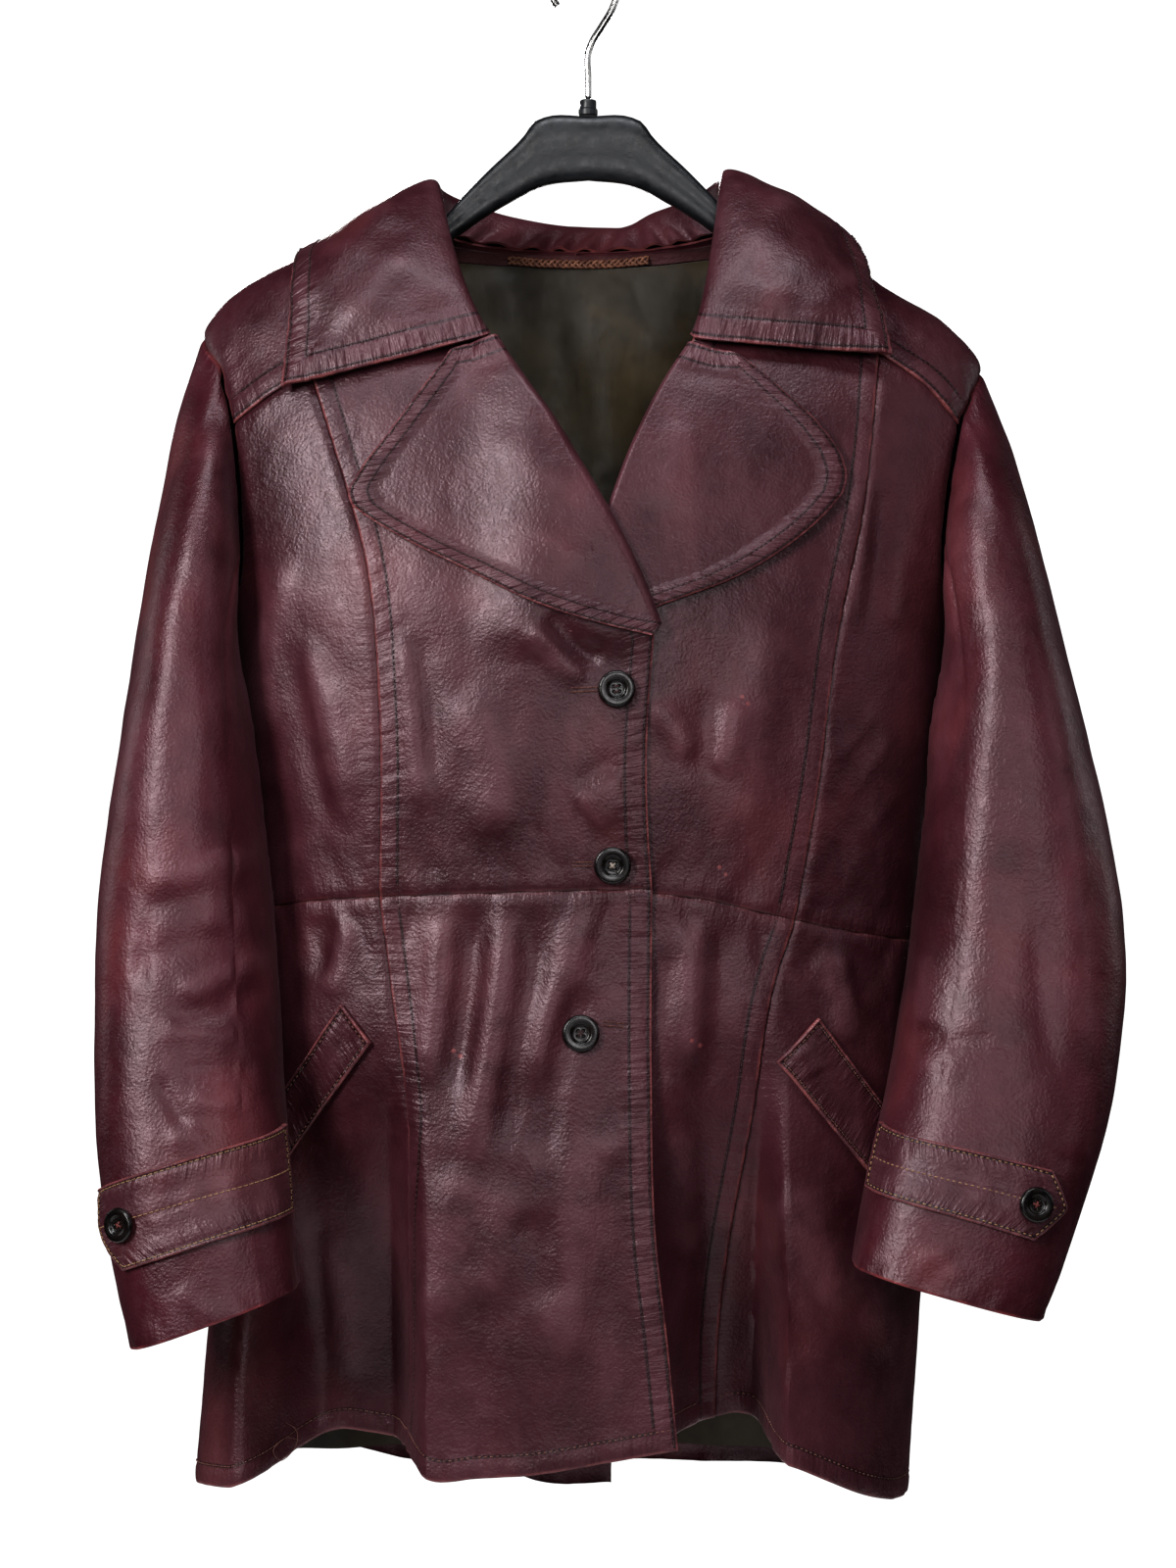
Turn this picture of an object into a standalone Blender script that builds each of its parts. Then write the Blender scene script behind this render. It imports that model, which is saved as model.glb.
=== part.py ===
"""A worn thigh-length leather coat, buttoned, hanging on a plastic hanger with a wire hook.

Shapes are worked out in millimetres and turned to metres when a mesh is made. X runs to the
viewer's right, the front of the coat faces -Y, +Z is up, and the origin is under the top of the
hook, where a rail would hold it. Pieces ending in _l lie on the viewer's left, _r on the right.

The coat's body is one smooth form: at each height a rounded ring, as wide as the coat's outline
there. Each panel is the part of that form between its seams, and what lies on a panel is made
from the same form, moved out.
"""

import math

import bmesh
import bpy
import numpy as np

MM = 0.001

# Cloth and gaps
LEATHER = 1.8
DOUBLE_LEATHER = 2.2
LINING = 1.0
SEAM_GAP = 0.32
LAY_GAP = 0.6

# The coat's outline seen from the front, as (height, x) on each side
LEFT_OUTLINE = (
    (-132, -50), (-150, -88), (-180, -171), (-206, -214), (-226, -227), (-250, -229.5),
    (-281, -227), (-330, -219), (-402, -210), (-480, -203), (-562, -199), (-640, -201),
    (-740, -214), (-810, -224), (-861, -228), (-900, -231), (-935, -233),
)
RIGHT_OUTLINE = (
    (-132, 50), (-150, 88), (-180, 150), (-200, 180), (-217, 209), (-247, 232),
    (-281, 231), (-330, 224), (-405, 214), (-480, 207), (-583, 202), (-680, 200),
    (-787, 196), (-850, 192), (-906, 188), (-935, 187),
)
# How far the front and the back stand out from the side seams, as (height, depth)
FRONT_DEPTH = (
    (-132, 8), (-150, 18), (-165, 30), (-180, 38), (-206, 47), (-235, 60), (-281, 77),
    (-330, 88), (-400, 98), (-480, 100), (-560, 97), (-640, 102), (-740, 107), (-850, 111),
    (-935, 113),
)
BACK_DEPTH = (
    (-132, 10), (-150, 20), (-160, 32), (-168, 42), (-180, 46), (-206, 50), (-235, 53),
    (-281, 59), (-400, 62), (-560, 55), (-700, 64), (-850, 76), (-935, 80),
)
SQUARENESS = 2.4

# The deep folds beside the front panels: depth at the hem, height where each starts, and the
# x range of its near and far slopes
FOLD_DEPTH = 76
FOLD_TOP = -610
FOLD_RISE = 265
FOLD_LEFT = (-206, -152, -114, -90)
FOLD_RIGHT = (14, 72, 95, 113)
BACK_WAVE = 7
BACK_WAVE_PITCH = 112

# The viewer's left front laps over the right one
LAP_START = -72
LAP_WIDTH = 45
LAP_LIFT = LEATHER + 0.8
LAPEL_LIFT = 4.4
LAPEL_LIFT_TOP = (-424, -402)
LAP_HIGH = -232
LAP_HIGH_EASE = 30

# Heights and places of the main seams
NECK_SIDE = -150
NECK_BACK = -168
SHOULDER_L = -226
SHOULDER_R = -247
UNDERARM_L = -402
UNDERARM_R = -405
WAIST_SIDE_L = -562
WAIST_SIDE_R = -583
WAIST_BACK = -571
CENTRE_BACK = -5

YOKE_SEAM_L = ((-78, -205), (-120, -232), (-160, -252))
YOKE_SEAM_L_ARM = ((-160, -252), (-178, -262), (-206, -281))
YOKE_SEAM_R = ((74, -205), (120, -222), (168, -241))
YOKE_SEAM_R_ARM = ((168, -241), (196, -260), (216, -281))
NECK_FRONT_L = ((-88, -150), (-84, -165), (-80.5, -185), (-78, -205))
NECK_FRONT_R = ((88, -150), (83, -165), (78, -185), (74, -205))
PRINCESS_L = ((-160, -252), (-146, -295), (-126, -364), (-118, -450), (-118, -554))
PRINCESS_R = ((168, -241), (157, -332), (143, -398), (129, -500), (117, -567))
PRINCESS_LOW_L = ((-118, -554), (-111, -607), (-102, -677), (-101.5, -740), (-101, -816), (-104, -872))
PRINCESS_LOW_R = ((117, -567), (105, -603), (93, -678), (80, -760), (76, -800), (74, -859))
ROLL_L = ((-56, -232), (-44, -257), (-22, -290), (0, -327), (22, -369), (37, -405))
ROLL_R = ((60, -235), (45, -262), (28, -296), (9.5, -346), (-14, -402))
EDGE_L = ((37, -405), (33, -470), (34, -521), (36, -549))
EDGE_LOW_L = ((36, -549), (35.5, -650), (38, -746), (44, -800), (50, -862))
EDGE_R = ((-14, -402), (-16, -480), (-16, -552))
EDGE_LOW_R = ((-16, -552), (-16, -700), (-14, -862))
WAIST_FRONT_L = ((-118, -554), (-40, -551), (36, -549))
WAIST_SIDE_FRONT_L = ((-118, -554), (-160, -557), (-186, -561))
WAIST_FRONT_R = ((-16, -552), (50, -553), (117, -567))
WAIST_SIDE_FRONT_R = ((117, -567), (145, -573), (187, -580))
HEM_FRONT_L = ((-104, -872), (-86, -880), (-64, -878), (-28, -875), (8, -869), (50, -862))
HEM_SIDE_FRONT_L = ((-104, -872), (-124, -869), (-146, -868), (-166, -876), (-184, -885), (-206, -893))
HEM_FRONT_R = ((-14, -862), (50, -864), (74, -859))
HEM_SIDE_FRONT_R = (
    (74, -859), (88, -857), (99, -861), (107, -871), (120, -877), (138, -886), (158, -896), (176, -903),
)
HEM_SIDE_L = -901
HEM_SIDE_R = -906
HEM_BACK_L = ((-190, -895), (-150, -893), (-108, -905), (-50, -912), (-20, -920), (15, -922))
HEM_BACK_R = ((CENTRE_BACK, -908), (60, -905), (100, -904), (150, -908))

# Armholes, as (degrees round the sleeve, x, height): 0 is the shoulder, 90 the front
ARMHOLE_FRONT_L = (
    (24, -217.5, -243.5), (48, -211.5, -262.5), (72, -206, -281), (105, -201.5, -325), (142, -203, -374),
)
ARMHOLE_BACK_L = ((218, -203, -374), (252, -200, -328), (288, -205, -281), (324, -215, -249))
ARMHOLE_FRONT_R = ((24, 227, -258), (48, 221.5, -270), (72, 216, -281), (105, 209, -318), (142, 207, -374))
ARMHOLE_BACK_R = ((218, 207, -374), (252, 205, -328), (288, 210, -285), (324, 220, -262))

# Sleeves, as (share of length, x, z) of the outer and inner lines, then (share, y of the
# middle, half depth)
OUTER_L = (
    (0, -227, -226), (0.1, -241, -275), (0.2, -250, -325), (0.3, -258, -380), (0.45, -269, -470),
    (0.6, -280, -572), (0.75, -278, -660), (0.88, -270, -732), (1, -254, -803),
)
INNER_L = (
    (0, -210, -402), (0.1, -206, -410), (0.2, -200, -430), (0.3, -192, -456), (0.45, -184, -520),
    (0.6, -177, -600), (0.75, -172, -665), (0.88, -166, -718), (1, -161, -769),
)
OUTER_R = (
    (0, 232, -247), (0.1, 246, -285), (0.2, 257, -325), (0.3, 269, -380), (0.45, 290, -478),
    (0.6, 306, -585), (0.75, 298, -655), (0.88, 279, -718), (1, 253, -787),
)
INNER_R = (
    (0, 214, -405), (0.1, 209, -412), (0.2, 204, -430), (0.3, 199, -452), (0.45, 192, -515),
    (0.6, 183, -590), (0.75, 169, -662), (0.88, 156, -712), (1, 147, -757),
)
SLEEVE_DEPTH = (
    (0, 0, 36), (0.1, -8, 60), (0.2, -16, 71), (0.3, -27, 73), (0.45, -46, 66), (0.6, -65, 56),
    (0.75, -84, 50), (0.88, -101, 45), (1, -114, 40),
)
SLEEVE_SQUARENESS = (2.0, 2.7)
SLEEVE_SEAT = 0.5
SLEEVE_CLEAR = 5.4
SLEEVE_CLEAR_BY = 0.07
ARMHOLE_CELLS = 20
YOKE_ARM_CELLS = 4
YOKE_CELLS = 6
YOKE_END_CELLS = 3
FRONT_ARM_CELLS = 6
SIDE_CELLS = 6
SKIRT_ROWS = 11
SLEEVE_ROWS = 19
FRONT_SEAM_CELL = 7
BACK_SEAM_CELL = 15

# The collar, one row for each station from the left front round the back to the right front:
# its fold line, the middle of its leaf and its outer edge
COLLAR_FOLD = (
    (-57, -67, -233), (-67, -58, -205), (-78, -38, -172), (-87, -12, -137), (-89, 2, -128),
    (-84, 24, -130), (-66, 42, -135), (-40, 52, -141), (-8, 56, -146), (20, 55, -147),
    (36, 51, -138), (58, 40, -131), (72, 20, -125), (76, 0, -123.5), (75, -12, -130),
    (70, -38, -166), (65, -58, -205), (60, -67, -235),
)
COLLAR_MIDDLE = (
    (-115, -68, -248), (-121, -63, -220), (-127, -50, -186), (-131, -24, -158), (-130, 2, -151),
    (-127, 30, -155), (-101, 51, -166), (-60, 62, -176), (-18, 66, -180), (20, 66, -181),
    (54, 62, -172), (89, 52, -162), (112, 32, -148), (118, 2, -139.5), (121, -21, -150),
    (121, -49, -180), (120, -64, -211), (115, -68, -240),
)
COLLAR_EDGE = (
    (-176, -62, -262), (-174.5, -53, -238), (-173, -43, -212), (-173, -27, -189), (-170, 3, -175),
    (-162, 35, -183), (-132, 51, -207), (-80, 59, -216), (-28, 62, -222), (20, 62, -222),
    (72, 58, -214), (118, 50, -203), (146, 36, -184), (158, 8, -166), (163, -15, -182),
    (168, -39, -207), (172, -54, -227), (174, -62, -243),
)
# The neck seam under the same stations: front points as (x, z), back points as (turns, z)
NECK_STATIONS_L = ((-58, -230), (-72, -213), (-81, -185), (-85.5, -160))
NECK_STATIONS_BACK = (
    (1.0, -150), (1.10, -152.5), (1.22, -158), (1.34, -164), (1.46, -167.5), (1.54, -168),
    (1.66, -164), (1.78, -158), (1.90, -152.5), (2.0, -150),
)
NECK_STATIONS_R = ((83.5, -160), (79, -185), (70, -214), (61, -231))
COLLAR_COLUMNS = 34
COLLAR_ROWS = 5
COLLAR_GAP = 0.5
STAND_RISE = 0.9
STAND_INSET = 1.1
NECK_CELLS = 10

# Lapels: gorge, then the outer edge from the notch round the tip to the break
GORGE_L = ((-55, -236), (-78, -243.5))
LAPEL_EDGE_L = (
    (-78, -243.5), (-89, -259), (-111, -289), (-131, -317), (-135, -325), (-132.5, -333),
)
LAPEL_FOOT_L = (
    (-132.5, -333), (-126, -338), (-100, -354), (-72, -368), (-33, -388), (4, -400), (35, -407.5),
)
GORGE_R = ((60, -238.5), (87, -246.5))
LAPEL_EDGE_R = (
    (87, -246.5), (111, -267), (134, -290), (143, -303), (146, -315), (144, -325),
)
LAPEL_FOOT_R = (
    (144, -325), (134, -337), (111, -357), (83, -374), (55, -385), (20, -397), (-10, -405),
)

# Hanger, as (x, z) of its top and lower lines on one side, and (x, half thickness)
HANGER_TOP = (
    (0, -95.2), (25, -95.6), (31, -98), (38, -107), (60, -128.5), (75, -144), (87, -157),
    (120, -173), (150, -186.5), (180, -206), (200, -220), (207, -226),
)
HANGER_FOOT = (
    (0, -133), (25, -136), (47, -146.5), (62, -155.5), (80, -168), (100, -179), (130, -195),
    (160, -210), (190, -225), (203, -231), (206.5, -231.5), (207.5, -230),
)
HANGER_HALF = ((0, 6.5), (60, 6.5), (95, 6.8), (150, 10), (208, 9))
HANGER_SQUARENESS = 3.2
HANGER_STATIONS = 17
HANGER_SIDES = 10
BOSS_PROFILE = ((0, -94.8), (5.6, -94.8), (5.6, -91), (4.8, -89.5), (4.8, -86.5), (4, -85.5), (0, -85.5))
WIRE = 4.0
HOOK_CENTRE = (-2, -18)
HOOK_RADIUS = 20
HOOK_STEM = ((0, -85.1), (0, -72), (0, -58), (2.5, -51), (8, -42), (14, -32))
HOOK_ARC_DEGREES = (-20, 215)
HOOK_STATIONS = 40
BOSS_SIDES = 16

# Small pieces
BUTTON = 21.0
CUFF_BUTTON = 19.5
BUTTON_THICK = 3.6
BUTTON_SIDES = 18
CUFF_BUTTON_GAP = 0.9
FRONT_BUTTONS = ((16, -437, 1.9), (13.7, -535.6, 0.9), (-4, -630, 0.9))
LAPEL_GAPS = {"l": 1.3, "r": 0.6}
LAPEL_BULGE = {"l": 3.4, "r": 1.02}
LAPEL_CELLS = 5
LAPEL_ROLL_CELLS = 14
WELT_L = ((-138.6, -615), (-122, -636), (-199, -742), (-207.5, -716))
WELT_R = ((129.5, -622.4), (106.3, -646.6), (184, -742), (195, -712))
TAB_L = {"start": ((-170, -680), (-162, -727)), "end": ((-268, -714), (-273, -737), (-253, -757))}
TAB_R = {"start": ((162, -678), (151, -713)), "end": ((254, -702), (262, -724), (243, -740))}
WELT_GAPS = {"l": 1.7, "r": 1.3}
TAB_CELLS = 14
TAB_GAP = 1.1
CUFF_BUTTON_L = (-254, -732)
CUFF_BUTTON_R = (243.5, -720)
FACING_HEIGHT = 9
FACING_TURNS = (1.2, 1.8)
INSIDE_GAP = 1.5
LOOP_TURNS = (1.41, 1.6)
LOOP_DROP = (3.5, 7)
LOOP_SAG = 1.6
LOOP_THICK = 1.2
LOOP_CELLS = 8
FACING_TOP = 1.5
LINING_SIDE = ((1.17, -250), (1.17, -330), (1.13, -420), (1.08, -520), (1.07, -700))
LINING_HEM_TURNS = (1.08, 1.92)
LINING_HEM = -893
LINING_EASE = 3.0
LINING_COLUMNS = 12
LINING_ROWS = 18
LINING_EASE_SHARE = 0.2
VENT_TOP = -690
VENT_EDGE = 15
VENT_SLANT = 16
VENT_LIFT = LEATHER + 3
VENT_EASE = 32


def smooth(t):
    """0 to 1 with level ends: 3t^2 - 2t^3."""
    t = np.clip(t, 0, 1)
    return t * t * (3 - 2 * t)


def profile(pairs):
    """A smooth curve through (key, value...) rows that never overshoots between two rows."""
    rows = np.array(sorted(tuple(row) for row in pairs), float)
    keys, values = rows[:, 0], rows[:, 1:]
    step = np.diff(keys)[:, None]
    slope = np.diff(values, axis=0) / step
    product = slope[:-1] * slope[1:]
    total = np.where(product > 0, slope[:-1] + slope[1:], 1)
    inner = np.where(product > 0, 2 * product / total, 0)
    slopes = np.vstack((slope[:1], inner, slope[-1:]))

    def value(key):
        key = np.clip(np.asarray(key, float), keys[0], keys[-1])
        i = np.clip(np.searchsorted(keys, key) - 1, 0, len(keys) - 2)
        t = ((key - keys[i]) / step[i, 0])[..., None]
        result = values[i] * (1 + 2 * t) * (1 - t) ** 2 + values[i + 1] * t * t * (3 - 2 * t)
        result = result + step[i] * (slopes[i] * t * (1 - t) ** 2 - slopes[i + 1] * t * t * (1 - t))
        return result[..., 0] if result.shape[-1] == 1 else result

    return value


def through(points, shares):
    """Points at shares 0 to 1 of a smooth line through the given ones (Catmull-Rom, by chord)."""
    points = np.array(points, float)
    if len(points) == 2:
        return points[0] + (points[1] - points[0]) * np.asarray(shares)[:, None]
    chord = np.concatenate(([0], np.cumsum(np.linalg.norm(np.diff(points, axis=0), axis=1))))
    chord /= chord[-1]
    slopes = np.gradient(points, chord, axis=0)
    i = np.clip(np.searchsorted(chord, shares) - 1, 0, len(points) - 2)
    step = (chord[i + 1] - chord[i])[:, None]
    t = (np.asarray(shares) - chord[i])[:, None] / step
    near = points[i] * (1 + 2 * t) * (1 - t) ** 2 + points[i + 1] * t * t * (3 - 2 * t)
    return near + step * (slopes[i] * t * (1 - t) ** 2 - slopes[i + 1] * t * t * (1 - t))


neck_back = profile([(turn * math.pi, z) for turn, z in NECK_STATIONS_BACK])
left_outline = profile(LEFT_OUTLINE)
right_outline = profile(RIGHT_OUTLINE)
front_depth = profile(FRONT_DEPTH)
back_depth = profile(BACK_DEPTH)


def ring(z):
    """Middle and half width of the body's ring at height z."""
    left, right = left_outline(z), right_outline(z)
    return (left + right) / 2, (right - left) / 2


def fold(x, z, side):
    """How far a front panel is drawn back at (x, z) by the deep fold on its side."""
    start, near, far, end = FOLD_LEFT if side == "l" else FOLD_RIGHT
    depth = FOLD_DEPTH * smooth((FOLD_TOP - z) / FOLD_RISE)
    return depth * smooth((x - start) / (near - start)) * (1 - smooth((x - far) / (end - far)))


def body(turn, z, side):
    """A point of the coat's form: |x/a|^n + |y/b|^n = 1 at each height, turn 0 at the right."""
    middle, half = ring(z)
    c, s = np.cos(turn), np.sin(turn)
    reach = (np.abs(c) ** SQUARENESS + np.abs(s) ** SQUARENESS) ** (-1 / SQUARENESS)
    x = middle + half * reach * c
    front = s >= 0
    y = -np.where(front, front_depth(z), back_depth(z)) * reach * s
    wave = BACK_WAVE * smooth((-600 - z) / 300) * np.sin(2 * math.pi * x / BACK_WAVE_PITCH) * s * s
    y = y + np.where(front, fold(x, z, side), wave)
    return np.stack((x, y, z + 0 * x), -1)


def normals(surface, u, v, du, dv):
    """Unit normals of a surface function, from its slopes in both directions."""
    across = surface(u + du, v) - surface(u - du, v)
    along = surface(u, v + dv) - surface(u, v - dv)
    normal = np.cross(along, across)
    return normal / np.linalg.norm(normal, axis=-1, keepdims=True)


def skin(places, out, side):
    """Points over the body at (turn, z) places, moved out along its normal by `out`."""
    turn, z = places[..., 0], places[..., 1]
    form = lambda a, b: body(a, b, side)
    normal = normals(form, turn, z, 1e-3, 0.2)
    return form(turn, z) + normal * np.asarray(out)[..., None]


def turn_at(x, z, back=False):
    """The ring's turn at x on the front or back."""
    middle, half = ring(z)
    u = np.clip((x - middle) / half, -1, 1)
    v = (1 - np.abs(u) ** SQUARENESS) ** (1 / SQUARENESS)
    turn = np.arctan2(v, u)
    return 2 * math.pi - turn if back else turn


def leg(points, cells, back=False):
    """(turn, z) samples of a smooth line through (x, z) points on the front or back."""
    line = through(points, np.linspace(0, 1, cells + 1))
    return np.stack((turn_at(line[:, 0], line[:, 1], back), line[:, 1]), -1)


def straight(start, end, cells):
    """(turn, z) samples from one place to another."""
    shares = np.linspace(0, 1, cells + 1)[:, None]
    return np.array(start) * (1 - shares) + np.array(end) * shares


def chain(*legs):
    """Joins sampled legs into one side, dropping each repeated corner."""
    return np.vstack([legs[0]] + [part[1:] for part in legs[1:]])


def patch(top, bottom, left, right):
    """The grid that four sampled sides bound: two blends of facing sides less the corners'."""
    s = np.linspace(0, 1, len(top))[None, :, None]
    t = np.linspace(0, 1, len(left))[:, None, None]
    ruled = (1 - t) * top[None] + t * bottom[None] + (1 - s) * left[:, None] + s * right[:, None]
    corners = (1 - s) * (1 - t) * top[0] + s * (1 - t) * top[-1]
    corners = corners + (1 - s) * t * bottom[0] + s * t * bottom[-1]
    return ruled - corners


def trim(places, point, gap=SEAM_GAP / 2):
    """Draws a grid's four borders in by the gap, measured on the surface `point` gives."""
    places = places.copy()
    for axis in (0, 1):
        places = np.swapaxes(places, 0, axis)
        spots = point(places)
        for edge, inner in ((0, 1), (-1, -2)):
            length = np.linalg.norm(spots[inner] - spots[edge], axis=-1, keepdims=True)
            places[edge] = places[edge] + (places[inner] - places[edge]) * gap / length
        places = np.swapaxes(places, 0, axis)
    return places


def grid_normals(points):
    """Unit normals of a grid of points."""
    normal = np.cross(np.gradient(points, axis=0), np.gradient(points, axis=1))
    return normal / np.linalg.norm(normal, axis=-1, keepdims=True)


def material(name, colour, roughness, metallic=0.0):
    """A Principled BSDF of one colour."""
    made = bpy.data.materials.new(name)
    made.use_nodes = True
    shader = made.node_tree.nodes["Principled BSDF"]
    shader.inputs["Base Color"].default_value = (*colour, 1)
    shader.inputs["Roughness"].default_value = roughness
    shader.inputs["Metallic"].default_value = metallic
    return made


def add_mesh(name, points, faces, finish, smooth_angle=35):
    """A closed mesh object from points in millimetres, with its faces pointing out."""
    mesh = bpy.data.meshes.new(name)
    work = bmesh.new()
    verts = [work.verts.new(point) for point in np.asarray(points) * MM]
    for face in faces:
        work.faces.new([verts[i] for i in face])
    if work.calc_volume(signed=True) < 0:
        bmesh.ops.reverse_faces(work, faces=work.faces[:])
    work.to_mesh(mesh)
    work.free()
    mesh.materials.append(finish)
    mesh.shade_smooth()
    mesh.set_sharp_from_angle(angle=math.radians(smooth_angle))
    placed = bpy.data.objects.new(name, mesh)
    bpy.context.scene.collection.objects.link(placed)
    return placed


def add_wall(name, outer, inner, finish):
    """Closes two facing grids into one wall, with both sides cut along the same diagonals."""
    rows, columns = outer.shape[:2]
    points = np.concatenate((outer.reshape(-1, 3), inner.reshape(-1, 3)))
    spot = np.arange(rows * columns).reshape(rows, columns)
    faces = []
    for i in range(rows - 1):
        for j in range(columns - 1):
            a, b, c, d = spot[i, j], spot[i + 1, j], spot[i + 1, j + 1], spot[i, j + 1]
            faces += [(a, b, c), (a, c, d)]
    under = [tuple(i + spot.size for i in reversed(face)) for face in faces]
    border = [*spot[0], *spot[1:, -1], *spot[-1, -2::-1], *spot[-2:0:-1, 0]]
    rim = []
    for near, far in zip(border, border[1:] + border[:1]):
        rim += [(near, far, far + spot.size), (near, far + spot.size, near + spot.size)]
    return add_mesh(name, points, faces + under + rim, finish)


def add_panel(name, places, finish, side="", out=0.0, wall=LEATHER):
    """A wall that follows the body between seams; `out` is its outer face's lift."""
    places = trim(places, lambda spots: skin(spots, 0, side))
    lift = out(places) if callable(out) else out + 0 * places[..., 0]
    return add_wall(name, skin(places, lift, side), skin(places, lift - wall, side), finish)


def lap_lift(places):
    """How far the left front stands out where it laps over the right one and its lapel."""
    x = body(places[..., 0], places[..., 1], "l")[..., 0]
    low, high = LAPEL_LIFT_TOP
    share = smooth((places[..., 1] - low) / (high - low))
    below = smooth((LAP_HIGH - places[..., 1]) / LAP_HIGH_EASE)
    return (LAP_LIFT + LAPEL_LIFT * share) * below * smooth((x - LAP_START) / LAP_WIDTH)


def armhole(side):
    """(turn, z) of the armhole at any angle: a closed smooth line through its keys."""
    if side == "l":
        front, back = ARMHOLE_FRONT_L, ARMHOLE_BACK_L
        high, low, turn, lap = SHOULDER_L, UNDERARM_L, math.pi, 0
    else:
        front, back = ARMHOLE_FRONT_R, ARMHOLE_BACK_R
        high, low, turn, lap = SHOULDER_R, UNDERARM_R, 0, 2 * math.pi
    keys = [(0, turn, high)]
    keys += [(angle, turn_at(x, z), z) for angle, x, z in front]
    keys += [(180, turn, low)]
    keys += [(angle, turn_at(x, z, True) - lap, z) for angle, x, z in back]
    before = [(angle - 360, a, z) for angle, a, z in keys]
    after = [(angle + 360, a, z) for angle, a, z in keys]
    rows = np.array(before + keys + after, float)
    slopes = np.gradient(rows[:, 1:], rows[:, 0], axis=0)

    def place(angle):
        angle = np.asarray(angle, float)
        i = np.searchsorted(rows[:, 0], angle, side="right") - 1
        step = (rows[i + 1, 0] - rows[i, 0])[..., None]
        t = (angle - rows[i, 0])[..., None] / step
        near = rows[i, 1:] * (1 + 2 * t) * (1 - t) ** 2 + rows[i + 1, 1:] * t * t * (3 - 2 * t)
        return near + step * (slopes[i] * t * (1 - t) ** 2 - slopes[i + 1] * t * t * (1 - t))

    return place


ARMHOLES = {"l": armhole("l"), "r": armhole("r")}


def armhole_leg(side, first, last):
    """The armhole between two of its cells, running from the first to the last."""
    steps = np.arange(first, last + 1) if last > first else np.arange(first, last - 1, -1)
    return ARMHOLES[side](steps * 360 / ARMHOLE_CELLS)


def sleeve(side):
    """The sleeve's surface: ovals between its outer and inner lines, eased into the armhole.

    Each oval is middle + cos(angle) * half width + sin(angle) * half depth, with both scaled
    to a rounded square towards the cuff. Points inside the body are moved out to its side.
    """
    outer = profile(OUTER_L if side == "l" else OUTER_R)
    inner = profile(INNER_L if side == "l" else INNER_R)
    depth = profile(SLEEVE_DEPTH)

    def oval(angle, share):
        top, low, deep = outer(share), inner(share), depth(share)
        power = SLEEVE_SQUARENESS[0] + (SLEEVE_SQUARENESS[1] - SLEEVE_SQUARENESS[0]) * smooth(share)
        c, s = np.cos(angle), np.sin(angle)
        reach = (np.abs(c) ** power + np.abs(s) ** power) ** (-1 / power)
        across = (top + low) / 2 + (top - low) / 2 * (reach * c)[..., None]
        y = deep[..., 0] - deep[..., 1] * reach * s
        return np.stack((across[..., 0], y, across[..., 1]), -1)

    def clear_of_body(spots, share):
        """Scales x and y out from the body's ring where a point lies inside it."""
        z = spots[..., 2]
        middle, half = ring(z)
        room = SLEEVE_CLEAR * smooth(share / SLEEVE_CLEAR_BY)
        wide = half + room
        deep = np.where(spots[..., 1] < 0, front_depth(z), back_depth(z)) + room
        u, v = (spots[..., 0] - middle) / wide, spots[..., 1] / deep
        size = (np.abs(u) ** SQUARENESS + np.abs(v) ** SQUARENESS) ** (1 / SQUARENESS)
        push = np.maximum(size, 1) / np.maximum(size, 0.2)
        return np.stack((middle + wide * u * push, deep * v * push, z), -1)

    def surface(angle, share):
        angle = angle + 0 * share
        share = share + 0 * angle
        ease = 1 - smooth(share / 0.3)
        seam = skin(ARMHOLES[side](np.degrees(angle)), SLEEVE_SEAT, side)
        freed = clear_of_body(oval(angle, share), share)
        return freed + (seam - clear_of_body(oval(angle, 0 * share), 0 * share)) * ease[..., None]

    return surface


SLEEVES = {"l": sleeve("l"), "r": sleeve("r")}


def sleeve_skin(side, places, out):
    """Points over a sleeve at (angle, share) places, moved out by `out`."""
    surface = SLEEVES[side]
    angle, share = places[..., 0], places[..., 1]
    share_in = np.clip(share, 0.002, 0.998)
    normal = normals(surface, angle, share_in, 2e-3, 1e-3) * (1 if side == "l" else -1)
    return surface(angle, share) + normal * np.asarray(out)[..., None]


def add_sleeve(name, side, first, last, finish):
    """One of a sleeve's two panels, between two cells of the armhole."""
    angle = np.arange(first, last + 1) * 2 * math.pi / ARMHOLE_CELLS
    share = np.linspace(0, 1, SLEEVE_ROWS + 1) ** 1.15
    places = np.stack(np.meshgrid(angle, share), -1)
    places = trim(places, lambda spots: SLEEVES[side](spots[..., 0], spots[..., 1]))
    add_wall(name, sleeve_skin(side, places, 0.0), sleeve_skin(side, places, -LEATHER), finish)


def on_sleeve(side, x, z):
    """(angle, share) of the place on a sleeve's front that shows at (x, z)."""
    angle = np.radians(np.linspace(20, 160, 281))
    share = np.linspace(0.6, 1, 401)
    places = np.stack(np.meshgrid(angle, share), -1)
    spots = SLEEVES[side](places[..., 0], places[..., 1])
    miss = (spots[..., 0] - x) ** 2 + (spots[..., 2] - z) ** 2
    return places[np.unravel_index(np.argmin(miss), miss.shape)]


def side_seam(side, high, low, cells):
    """The side seam between two heights."""
    turn = math.pi if side == "l" else 0
    return straight((turn, high), (turn, low), cells)


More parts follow.
